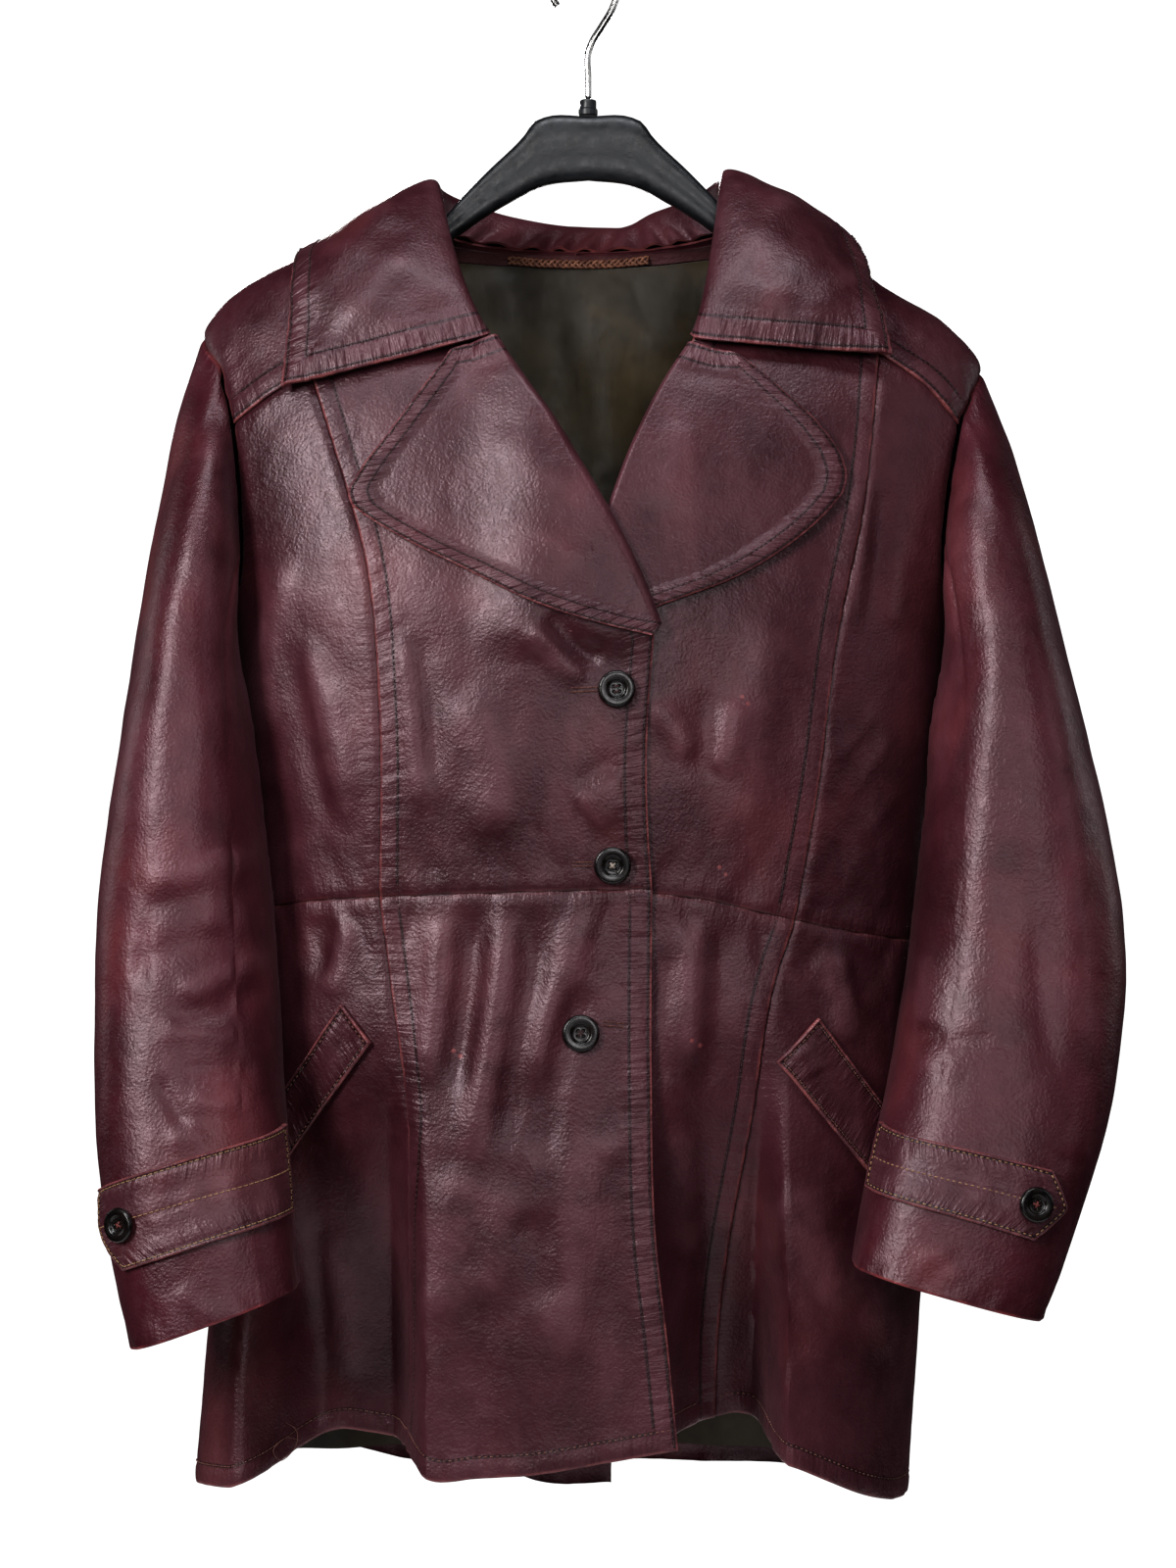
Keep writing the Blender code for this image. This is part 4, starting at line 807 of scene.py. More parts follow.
def body_relief(places, side=""):
    """Folds and unevenness of the body at (turn, z) places."""
    spots = body(places[..., 0], places[..., 1], side)
    x, y, z = spots[..., 0], spots[..., 1], spots[..., 2]
    s = np.sin(places[..., 0])
    front = FOLD_DEPTH_SHARE * folds(x, z, FRONT_FOLDS) * smooth(s * 3)
    back = folds(x, z, BACK_FOLDS) * smooth(-s * 3)
    return front + back + ripples(x, y, z)


def sleeve_relief(side, places):
    """Folds and unevenness of a sleeve at (angle, share) places: the same few behind as in front."""
    spots = SLEEVES[side](places[..., 0], places[..., 1])
    x, y, z = spots[..., 0], spots[..., 1], spots[..., 2]
    s = np.sin(places[..., 0])
    marks = SLEEVE_FOLDS[side]
    front = folds(x, z, marks) * smooth(s * 3)
    back = folds(x - 9, z - 16, marks) * smooth(-s * 3)
    ends = smooth(places[..., 1] * 12)
    return (front + back) * ends + ripples(x + 40, y, z) * ends


# Sewing ------------------------------------------------------------


def border_runs(spots):
    """For each border of a grid: distance along it, and distance in from it, in mm."""
    across = np.linalg.norm(np.diff(spots, axis=1), axis=-1)
    across = np.concatenate((np.zeros((len(spots), 1)), np.cumsum(across, axis=1)), axis=1)
    down = np.linalg.norm(np.diff(spots, axis=0), axis=-1)
    down = np.concatenate((np.zeros((1, spots.shape[1])), np.cumsum(down, axis=0)))
    return {
        "left": (down[:, :1] + 0 * across, across),
        "right": (down[:, -1:] + 0 * across, across[:, -1:] - across),
        "top": (across[:1] + 0 * down, down),
        "bottom": (across[-1:] + 0 * down, down[-1:] - down),
    }


def sewn(runs, borders):
    """Relief of the borders: each edge's height, the puff and groove of its row, its gathers.

    height * exp(-(v / 2.6)^2) + puff * sin(pi v / row) - groove * exp(-((v - row) / 1.5)^2)
    + depth * exp(-(v / reach)^2) * (three sine waves of u), with u along and v in from it.
    """
    total = 0
    for number, name in enumerate(borders):
        u, v = runs[name]
        border = borders[name]
        total = total + border.height * np.exp(-((v / 2.6) ** 2)) - 0.4 * np.exp(-((v / 0.5) ** 2))
        if border.rows:
            row = border.rows[-1]
            total = total + 0.5 * np.sin(math.pi * np.clip(v / row, 0, 1)) * (border.pucker > 0)
            total = total - 0.35 * np.exp(-(((v - row) / 1.5) ** 2))
        depth, reach, pitch = border.gather
        phase = 1.9 * number + v / 14
        waves = np.sin(2 * math.pi * u / pitch + phase) + np.sin(
            2 * math.pi * u / (pitch * 1.63) + 2 * phase,
        )
        waves = waves + 0.6 * np.sin(2 * math.pi * u / (pitch * 0.61) + 3 * phase)
        total = total + depth * np.exp(-((v / reach) ** 2)) * waves * 0.6
    return total


def corners_of(grid):
    """A vertex grid's values at the four corners of every cell."""
    return np.stack((grid[:-1, :-1], grid[1:, :-1], grid[1:, 1:], grid[:-1, 1:]), 2)


def seam_map(runs, borders):
    """Each cell's nearest border: (u, v) at its corners in metres, and that border's numbers."""
    best, uv, numbers = None, None, None
    for name in borders:
        u, v = runs[name]
        border = borders[name]
        cu, cv = corners_of(u), corners_of(v)
        reach = cv.mean(2) + (0 if border.rows or border.pucker > 0.3 else 3.0)
        rows = (border.rows[-1] if border.rows else 0, border.rows[0] if len(border.rows) > 1 else 0)
        mine = np.array((rows[0] * MM, rows[1] * MM, border.pucker, border.wear))
        if best is None:
            best = reach
            uv = np.stack((cu, cv), -1)
            numbers = np.broadcast_to(mine, reach.shape + (4,)).copy()
            continue
        take = reach < best
        best = np.where(take, reach, best)
        uv = np.where(take[..., None, None], np.stack((cu, cv), -1), uv)
        numbers = np.where(take[..., None], mine, numbers)
    return uv * MM, numbers


def add_mesh(name, points, faces, finish, sharp=40):
    """A mesh object at the origin, smooth shaded, riding on the coat's one body."""
    mesh = bpy.data.meshes.new(name)
    mesh.from_pydata(np.asarray(points) * MM, [], faces)
    mesh.materials.append(finish)
    mesh.shade_smooth()
    if sharp:
        mesh.set_sharp_from_angle(angle=math.radians(sharp))
    placed = bpy.data.objects.new(name, mesh)
    bpy.context.scene.collection.objects.link(placed)
    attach(placed, "root")
    return placed


def volume(points, faces):
    """Signed volume of a closed mesh of quads."""
    a, b, c, d = (points[faces[:, k]] for k in range(4))
    return (np.einsum("ij,ij->i", a, np.cross(b, c)) + np.einsum("ij,ij->i", a, np.cross(c, d))).sum() / 6


def add_wall(name, outer, inner, finish, runs=None, borders=None, wear_and_sheen=None):
    """Closes two facing grids into one wall, with the seam map and how pale its ridges are painted, part
    wear and part painted sheen.
    """
    rows, columns = outer.shape[:2]
    points = np.concatenate((outer.reshape(-1, 3), inner.reshape(-1, 3)))
    spot = np.arange(rows * columns).reshape(rows, columns)
    face = corners_of(spot).reshape(-1, 4)
    border = np.concatenate((spot[0], spot[1:, -1], spot[-1, -2::-1], spot[-2:0:-1, 0]))
    after = np.roll(border, -1)
    rim = np.stack((border, after, after + spot.size, border + spot.size), -1)
    under = face[:, ::-1] + spot.size
    faces = np.concatenate((face, under, rim))
    turned_in = volume(points, faces) < 0
    if turned_in:
        faces = faces[:, ::-1]
    placed = add_mesh(name, points, faces.tolist(), finish)
    mesh = placed.data
    uv = np.full((len(faces), 4, 2), 0.1)
    numbers = np.zeros((len(faces), 4))
    if borders:
        seam_uv, seam_numbers = seam_map(runs, borders)
        uv[:len(face)] = seam_uv.reshape(-1, 4, 2)
        numbers[:len(face)] = seam_numbers.reshape(-1, 4)
        uv[-len(rim):, :, 1] = 0
        numbers[-len(rim):, 3] = max(border.wear for border in borders.values())
    if turned_in:
        uv = uv[:, ::-1]
    layer = mesh.uv_layers.new(name="seam")
    layer.uv.foreach_set("vector", uv.reshape(-1))
    sewing = mesh.attributes.new("sewing", "FLOAT_COLOR", "CORNER")
    sewing.data.foreach_set("color", np.repeat(numbers, 4, axis=0).reshape(-1))
    # ridge paleness per point: part wear, part a painted sheen along the crests of the folds
    worn = np.zeros(len(points))
    if wear_and_sheen is not None:
        worn[:spot.size] = wear_and_sheen.reshape(-1)
    ridge = mesh.attributes.new("ridge", "FLOAT", "POINT")
    ridge.data.foreach_set("value", worn)
    return placed


def declare(spots):
    """Works out a wall's width, length and area as a sheet cut to size, and keeps none of them."""
    wide = max(length_of(spots[0]), length_of(spots[-1]), length_of(spots[len(spots) // 2]))
    middle = spots.shape[1] // 2
    high = max(length_of(spots[:, 0]), length_of(spots[:, -1]), length_of(spots[:, middle]))
    cross = np.cross(spots[1:, 1:] - spots[:-1, :-1], spots[1:, :-1] - spots[:-1, 1:])
    area = np.linalg.norm(cross, axis=-1).sum() / 2
    area = min(max(area, 0.31 * wide * high), wide * high)


ROWS_OF_THREAD = {}


def sew(group, outer, runs, name, offset, start=0.0, end=0.0, shown=None):
    """Keeps the line on a wall's outer grid that lies `offset` mm in from one of its borders."""
    grid, inward = outer, runs[name][1]
    normal = grid_normals(outer)
    if name in ("top", "bottom"):
        grid, inward, normal = (np.swapaxes(part, 0, 1) for part in (grid, inward, normal))
    if name in ("right", "bottom"):
        grid, inward, normal = grid[:, ::-1], inward[:, ::-1], normal[:, ::-1]
    row = np.arange(len(grid))
    i = np.clip((inward < offset).sum(axis=1) - 1, 0, inward.shape[1] - 2)
    t = ((offset - inward[row, i]) / np.maximum(inward[row, i + 1] - inward[row, i], 1e-6))[:, None]
    line = grid[row, i] * (1 - t) + grid[row, i + 1] * t
    facing = normal[row, i]
    keep_thread(group, line, facing, start, end, shown)


def keep_thread(group, line, facing, start=0.0, end=0.0, shown=None, pitch=PITCH, length=STITCH):
    """Keeps a row of thread along a line, from `start` mm in to `end` mm before its end."""
    run = np.concatenate(([0], np.cumsum(np.linalg.norm(np.diff(line, axis=0), axis=1))))
    keep = (run >= start) & (run <= run[-1] - end)
    if shown is not None:
        keep &= shown(line)
    if keep.sum() > 2:
        ROWS_OF_THREAD.setdefault(group, []).append((line[keep], facing[keep], pitch, length))


def stitches(line, facing, pitch, length, thick):
    """Points and faces of one row's stitches: bars of four rings, sunk at both ends."""
    run = np.concatenate(([0], np.cumsum(np.linalg.norm(np.diff(line, axis=0), axis=1))))
    count = max(1, int(run[-1] / pitch))
    middle = (np.arange(count) + 0.5) * run[-1] / count
    along = middle[:, None] + np.array((-0.5, -0.22, 0.22, 0.5)) * length
    along = np.clip(along, 0, run[-1])
    spots = np.stack([np.interp(along, run, line[:, k]) for k in range(3)], -1)
    up = np.stack([np.interp(along, run, facing[:, k]) for k in range(3)], -1)
    up /= np.linalg.norm(up, axis=-1, keepdims=True)
    way = spots[:, -1:] - spots[:, :1]
    way = way / np.maximum(np.linalg.norm(way, axis=-1, keepdims=True), 1e-6)
    side = np.cross(way, up)
    side /= np.maximum(np.linalg.norm(side, axis=-1, keepdims=True), 1e-6)
    rise = np.array((-1.3, 0.35, 0.35, -1.3))[None, :, None] * thick
    ring_at = np.radians((45, 135, 225, 315))
    round_ = side[:, :, None] * np.cos(ring_at)[:, None] + up[:, :, None] * np.sin(ring_at)[:, None]
    points = (spots + up * rise)[:, :, None] + round_ * thick
    base = np.arange(count)[:, None, None] * 16
    a = base + np.arange(3)[None, :, None] * 4 + np.arange(4)[None, None]
    b = base + np.arange(3)[None, :, None] * 4 + (np.arange(4) + 1)[None, None] % 4
    sides = np.stack((a, b, b + 4, a + 4), -1).reshape(-1, 4)
    first = base[:, 0] + np.array((3, 2, 1, 0))
    last = base[:, 0] + np.array((12, 13, 14, 15))
    return points.reshape(-1, 3), np.concatenate((sides, first, last))


def add_threads(finishes):
    """One object for each group of rows."""
    for group, rows in ROWS_OF_THREAD.items():
        points, faces, start = [], [], 0
        for line, facing, pitch, length in rows:
            spots, quads = stitches(line, facing, pitch, length, THREAD)
            points.append(spots)
            faces.append(quads + start)
            start += len(spots)
        points, faces = np.concatenate(points), np.concatenate(faces)
        if volume(points, faces) < 0:
            faces = faces[:, ::-1]
        add_mesh(f"thread_{group}", points, faces.tolist(), finishes.get(group, finishes["body"]), 0)


def add_panel(name, sides, borders, side="", out=0.0):
    """A body panel between its seams, replacing its solid: its wall, relief and seam map."""

    def flat_place(places):
        return skin(places, 0, side)

    places = trim(spread(*sides, flat_place, CELL), flat_place)
    base = flat_place(places)
    runs = border_runs(base)
    lift = out(places) if callable(out) else out + 0 * places[..., 0]
    relief = body_relief(places, side)
    quiet = np.minimum.reduce([runs[edge][1] for edge in runs])
    relief = relief * smooth(quiet / 6 + 0.25)
    lift = lift + relief + sewn(runs, borders)
    outer = skin(places, lift, side)
    inner = skin(places, lift - LEATHER, side)
    # paler where the relief rises: part wear, part a painted sheen on the ridges
    wear_and_sheen = np.clip(relief / 2.2, 0, 1)
    placed = add_wall(f"worn_{name}", outer, inner, FINISHES["body"], runs, borders, wear_and_sheen)
    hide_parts(name)
    declare(base)
    return outer, runs


def below(z):
    """A test of which points of a line lie under a height."""
    return lambda line: line[:, 2] < z


def make_fronts():
    """The upper and lower fronts, their side panels and the yokes, with their rows of thread."""
    for side in ("l", "r"):
        left = side == "l"
        waist_side = WAIST_SIDE[side]
        underarm = UNDERARM[side]
        turn = math.pi if left else 0
        yoke_seam = leg(YOKE_SEAM[side], YOKE_CELLS)
        yoke_arm = leg(YOKE_ARM_SEAM_L if left else YOKE_ARM_SEAM_R, YOKE_END_CELLS)
        neck = leg(NECK_FRONT[side], YOKE_ARM_CELLS)
        princess = leg(PRINCESS[side], 12)
        roll = ROLL[side]
        gorge = leg((YOKE_SEAM[side][0], GORGE_BEND[side], roll[0]), 2)
        edge = chain(gorge, leg(roll, 6), leg(FRONT_EDGE[side], 4))
        waist = leg(WAIST_FRONT[side], YOKE_CELLS)
        waist = waist if left else waist[::-1]
        lift = lap_lift if left else 0.0
        sides = yoke_seam[::-1], waist, princess, edge
        borders = {"top": UNDER, "bottom": WAIST, "left": LAPPED, "right": EDGE}
        outer, runs = add_panel(f"front_upper_{side}", sides, borders, side, lift)
        sew("body", outer, runs, "left", LAPPED.rows[0], 3, 1)
        for row in EDGE.rows[::-1] if left else ():
            sew("body", outer, runs, "right", row, 0, 0, below(BREAK))

        armhole_low = armhole_leg(side, YOKE_ARM_CELLS, YOKE_ARM_CELLS + FRONT_ARM_CELLS)
        arm_side = chain(armhole_low, straight((turn, underarm), (turn, waist_side), SIDE_CELLS))
        waist_arm = leg(WAIST_SIDE_FRONT[side], YOKE_END_CELLS - 1)
        waist_arm = chain(waist_arm, straight(waist_arm[-1], (turn, waist_side), 1))
        sides = yoke_arm[::-1], waist_arm[::-1], arm_side, princess
        borders = {"top": UNDER, "bottom": WAIST, "left": ARMHOLE, "right": UNDER}
        add_panel(f"side_front_upper_{side}", sides, borders, side)

        shoulder = SHOULDER[side]
        ridge = straight((turn, NECK_SIDE), (turn, shoulder), YOKE_CELLS + YOKE_END_CELLS)
        arm_top = armhole_leg(side, 0, YOKE_ARM_CELLS)
        sides = ridge, chain(yoke_seam, yoke_arm), neck, arm_top
        borders = {"top": SEAM, "bottom": YOKE, "left": NECK, "right": ARMHOLE}
        outer, runs = add_panel(f"yoke_{side}", sides, borders, side)
        for row in YOKE.rows:
            sew("body", outer, runs, "bottom", row, 3, 2)

        princess_low = leg(PRINCESS_LOW[side], SKIRT_ROWS)
        edge_low = leg(FRONT_EDGE_LOW[side], SKIRT_ROWS)
        waist = leg(WAIST_FRONT["l"] if left else WAIST_FRONT["r"][::-1], 8)
        hem = leg(HEM_FRONT["l"] if left else HEM_FRONT["r"][::-1], 8)
        borders = {"top": WAIST, "bottom": HEM, "left": LAPPED, "right": EDGE}
        sides = waist, hem, princess_low, edge_low
        outer, runs = add_panel(f"front_lower_{side}", sides, borders, side, lift)
        sew("body", outer, runs, "left", LAPPED.rows[0], 1, 2)
        sew("hem", outer, runs, "bottom", HEM.rows[0], 2 if left else 12, 2)
        for row, end in zip(EDGE.rows[::-1], (12, 2)) if left else ():
            sew("body", outer, runs, "right", row, 1, end)

        hem_side = HEM_SIDE[side]
        waist_arm = leg(WAIST_SIDE_FRONT[side], 6)
        waist_arm = chain(waist_arm, straight(waist_arm[-1], (turn, waist_side), 2))
        hem_arm = leg(HEM_SIDE_FRONT[side], 6)
        hem_arm = chain(hem_arm, straight(hem_arm[-1], (turn, hem_side), 2))
        side_low = straight((turn, waist_side), (turn, hem_side), SKIRT_ROWS)
        borders = {"top": WAIST, "bottom": HEM, "left": UNDER, "right": SEAM}
        sides = waist_arm, hem_arm, princess_low, side_low
        outer, runs = add_panel(f"side_front_lower_{side}", sides, borders, side)
        sew("hem", outer, runs, "bottom", HEM.rows[0], 2, 2)


BACK_ANGLES = np.linspace(
    ARMHOLE_CELLS, ARMHOLE_CELLS // 2, ARMHOLE_CELLS // 2 * FINE + 1,
) * 360 / ARMHOLE_CELLS
BACK_LEVELS = tuple(sum(pair.values()) / 2 for pair in (SHOULDER, UNDERARM, WAIST_SIDE))


def back_sides(side):
    """The sides of an upper back panel: neck, waist, shoulder with armhole and side, centre."""
    left = side == "l"
    turn = math.pi if left else 2 * math.pi
    middle = 1.5 * math.pi
    shoulder = SHOULDER[side]
    underarm = UNDERARM[side]
    waist_side = WAIST_SIDE[side]
    turns = np.linspace(turn, middle, NECK_CELLS * FINE + 1)
    neck = np.stack((turns, neck_back(turns)), -1)
    hole = ARMHOLES[side](BACK_ANGLES)
    hole = hole if left else hole + (2 * math.pi, 0)
    ridge = straight((turn, NECK_SIDE), (turn, shoulder), YOKE_CELLS + YOKE_END_CELLS)
    arm = chain(ridge, hole, straight((turn, underarm), (turn, waist_side), SIDE_CELLS))
    heights = np.concatenate((
        np.linspace(NECK_SIDE, BACK_LEVELS[0], len(ridge)),
        (ARMHOLES["l"](BACK_ANGLES)[1:, 1] + ARMHOLES["r"](BACK_ANGLES)[1:, 1]) / 2,
        np.linspace(*BACK_LEVELS[1:], SIDE_CELLS * FINE + 1)[1:],
    ))
    fall = (heights - NECK_SIDE) / (BACK_LEVELS[2] - NECK_SIDE)
    centre = np.stack((middle + 0 * fall, NECK_BACK + fall * (WAIST_BACK - NECK_BACK)), -1)
    waist = straight((turn, waist_side), (middle, WAIST_BACK), NECK_CELLS)
    return neck, waist, arm, centre


def vent_lift(places):
    """How far the left back stands out over the right one beside the vent."""
    x = body(places[..., 0], places[..., 1], "")[..., 0]
    beside = smooth((x - CENTRE_BACK + VENT_EASE) / VENT_EASE)
    return VENT_LIFT * beside * smooth((VENT_TOP + 12 - places[..., 1]) / 14)


def make_backs():
    """Two upper and two lower back panels; the left lower one laps over the vent."""
    for side in ("l", "r"):
        borders = {"top": NECK, "bottom": WAIST, "left": ARMHOLE, "right": SEAM}
        add_panel(f"back_upper_{side}", back_sides(side), borders)
        left = side == "l"
        turn = math.pi if left else 2 * math.pi
        waist_side = WAIST_SIDE[side]
        hem_side = HEM_SIDE[side]
        waist = straight((turn, waist_side), (1.5 * math.pi, WAIST_BACK), 10)
        rough = leg(HEM_BACK["l"] if left else HEM_BACK["r"][::-1], 8, True)
        hem = chain(straight((turn, hem_side), rough[0], 2), rough)
        centre = leg(((CENTRE_BACK, WAIST_BACK), (CENTRE_BACK, VENT_TOP)), 4, True)
        slant = (VENT_EDGE, VENT_TOP - VENT_SLANT) if left else (CENTRE_BACK, VENT_TOP - VENT_SLANT)
        foot = HEM_BACK["l"][-1] if left else HEM_BACK["r"][0]
        centre = chain(
            centre, leg(((CENTRE_BACK, VENT_TOP), slant), 1, True), leg((slant, foot), 7, True),
        )
        blend = np.linspace(1, 0, FINE + 1)[:, None]
        centre[:FINE + 1] += (waist[-1] - centre[0]) * blend
        outer = straight((turn, waist_side), (turn, hem_side), 12)
        lift = vent_lift if left else 0.0
        borders = {"top": WAIST, "bottom": HEM, "left": SEAM, "right": VENT if left else SEAM}
        panel, runs = add_panel(f"back_lower_{side}", (waist, hem, outer, centre), borders, out=lift)
        sew("hem", panel, runs, "bottom", HEM.rows[0], 2, 2)
        if left:
            sew("hem", panel, runs, "right", VENT.rows[0], 0, 12, below(VENT_TOP))


def make_sleeves():
    """Each sleeve's upper and under panel."""
    for side in ("l", "r"):
        back = BACK_SEAM_CELL - ARMHOLE_CELLS
        for name, first, last in (
            ("upper", back, FRONT_SEAM_CELL), ("under", FRONT_SEAM_CELL, BACK_SEAM_CELL),
        ):
            unit = 2 * math.pi / ARMHOLE_CELLS
            wide = length_of(SLEEVES[side](np.linspace(first, last, 60) * unit, np.full(60, 0.4)))
            angle = (first + (last - first) * steps(wide, CELL)) * unit
            share = steps(600, CELL)
            places = np.stack(np.meshgrid(angle, share), -1)
            places = trim(places, lambda spots: SLEEVES[side](spots[..., 0], spots[..., 1]))
            base = SLEEVES[side](places[..., 0], places[..., 1])
            runs = border_runs(base)
            borders = {"top": ARMHOLE, "bottom": CUFF}
            relief = sleeve_relief(side, places)
            quiet = np.minimum(runs["left"][1], runs["right"][1])
            relief = relief * smooth(quiet / 8 + 0.3) * smooth(runs["top"][1] / 14)
            lift = relief + sewn(runs, borders)
            outer = sleeve_skin(side, places, lift)
            inner = sleeve_skin(side, places, lift - LEATHER)
            for wall in (outer, inner):
                past = wall[0] - wall[2]
                wall[0] += SEAM_TURNING * past / np.linalg.norm(past, axis=-1, keepdims=True)
            # paler where the relief rises: part wear, part a painted sheen on the ridges
            wear_and_sheen = np.clip(relief / 2.0, 0, 1)
            placed = add_wall(
                f"worn_sleeve_{name}_{side}", outer, inner, FINISHES["sleeve"], runs, borders, wear_and_sheen,
            )
            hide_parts(f"sleeve_{name}_{side}")
            declare(base)


def make_tabs():
    """The pointed tab round each cuff, sewn round its edge and along its middle."""
    for side in ("l", "r"):
        tab = TAB_ENDS[side]
        start = np.array([on_sleeve(side, *spot) for spot in tab["start"]])
        end = np.array([on_sleeve(side, *spot) for spot in tab["end"]])
        shares = np.linspace(0, 1, TAB_CELLS * FINE + 1)
        top, low = through((start[0], end[0]), shares), through((start[1], end[2]), shares)
        tip = chain(straight(end[0], end[1], 2), straight(end[1], end[2], 2))
        sides = top, low, straight(start[0], start[1], 4), tip

        def on(places):
            return SLEEVES[side](places[..., 0], places[..., 1])

        places = spread(*sides, on, 1.6)
        base = on(places)
        runs = border_runs(base)
        borders = {edge: TAB for edge in runs}
        rest = sleeve_relief(side, places) + TAB_GAP
        middle = np.abs(runs["top"][1] - runs["bottom"][1]) / 2
        pull = 0.35 * np.sin(runs["top"][0] / 3.1) * np.exp(-((middle / 9) ** 2))
        lift = rest + sewn(runs, borders) - 0.35 * np.exp(-((middle / 1.2) ** 2)) + 0.25 + pull * 0.6
        outer = sleeve_skin(side, places, lift + DOUBLE_LEATHER)
        inner = sleeve_skin(side, places, rest)
        # the tab is painted a little paler, more on its waves: part wear, part a painted sheen
        wear_and_sheen = np.clip(0.35 + pull, 0, 1)
        placed = add_wall(f"worn_sleeve_tab_{side}", outer, inner, FINISHES["body"], runs, borders, wear_and_sheen)
        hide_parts(f"sleeve_tab_{side}")
        declare(base)
        row = TAB.rows[0]
        for edge in runs:
            sew("tabs", outer, runs, edge, row, row, row)
        half = outer.shape[0] // 2
        facing = grid_normals(outer)[half]
        keep_thread("tabs", outer[half], facing, 3, 6)


def make_collar():
    """The collar: one sheet up from the neck seam, over its fold and down to its edge.

    The visible side runs up the inside of the neck to the fold line and down a parabola through
    the middle line to the edge. Its corner at the fold is rounded by repeated averaging.
    """
    shares = steps(1050, 2.3)
    keys = np.linspace(0, 1, len(COLLAR_FOLD))
    rows = [profile(np.column_stack((keys, line))) for line in (COLLAR_FOLD, COLLAR_MIDDLE, COLLAR_EDGE)]
    first, middle, last = (row(shares) for row in rows)
    control = 2 * middle - (first + last) / 2
    t = (1 - steps(96, 2.2)[::-1])[5:, None, None]
    leaf = (1 - t) ** 2 * first + 2 * t * (1 - t) * control + t * t * last
    seam = np.array(
        [(turn_at(x, z), z) for x, z in NECK_STATIONS["l"]]
        + [(turn * math.pi, z) for turn, z in NECK_STATIONS_BACK]
        + [(turn_at(x, z) + 2 * math.pi, z) for x, z in NECK_STATIONS["r"]]
    )
    foot = profile(np.column_stack((keys, skin(seam, 0, ""))))(shares)
    inward = (0, 0, 0) - first * (1, 1, 0)
    inward /= np.linalg.norm(inward, axis=-1, keepdims=True)
    rise = (first - foot) / np.linalg.norm(first - foot, axis=-1, keepdims=True)
    foot = foot + rise * 1.1 + inward * (1.4 + LEATHER)
    s = np.linspace(0, 1, 14)[:-1, None, None]
    sheet = np.concatenate((foot * (1 - s) + first * s, leaf))
    fold_row = len(s)
    for _ in range(14):
        sheet[1:-1] = (sheet[:-2] + 2 * sheet[1:-1] + sheet[2:]) / 4
    facing = grid_normals(sheet)
    way = np.sign(np.sum(facing[-8:] * (sheet[-8:] - (0, 0, -300)), -1).mean())
    facing = facing * way
    runs = border_runs(sheet)
    borders = {"bottom": LEAF, "left": LEAF, "right": LEAF}
    x, y, z = sheet[..., 0], sheet[..., 1], sheet[..., 2]
    soft = 0.8 * np.sin(x / 13 + z / 21) * np.sin(y / 17 + z / 9 + 1) + 0.35 * np.sin(x / 6.1 - z / 7.3)
    on_leaf = smooth((np.arange(len(sheet)) - fold_row - 2) / 10)[:, None]
    crush = 1.8 * np.sin(
        runs["top"][0] / 2.9 + np.sin(runs["top"][0] / 11),
    ) * np.exp(-((runs["top"][1] / 12) ** 2))
    relief = soft * on_leaf + crush * (1 - on_leaf) * smooth((y - 8) / 25)
    lift = (relief + sewn(runs, borders) * on_leaf)[..., None]
    outer = sheet + facing * lift
    inner = outer - facing * DOUBLE_LEATHER
    # the fold line and raised relief are painted paler: part wear, part a painted sheen on the fold's crest
    wear_and_sheen = np.clip(
        relief * 0.6 + 0.5 * np.exp(-(((np.arange(len(sheet)) - fold_row) / 4) ** 2))[:, None], 0, 1,
    )
    placed = add_wall("worn_collar", outer, inner, FINISHES["body"], runs, borders, wear_and_sheen)
    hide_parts("collar_leaf", "collar_stand")
    declare(sheet)

    def over(line):
        return line[:, 2] < 0

    for row in LEAF.rows:
        sew("collar", outer, runs, "bottom", row, row, row, over)
    for edge in ("left", "right"):
        start = runs[edge][0][fold_row, 0]
        for row, past_fold in zip(LEAF.rows, (6, 36)):
            sew("collar", outer, runs, edge, row, start + past_fold, row)


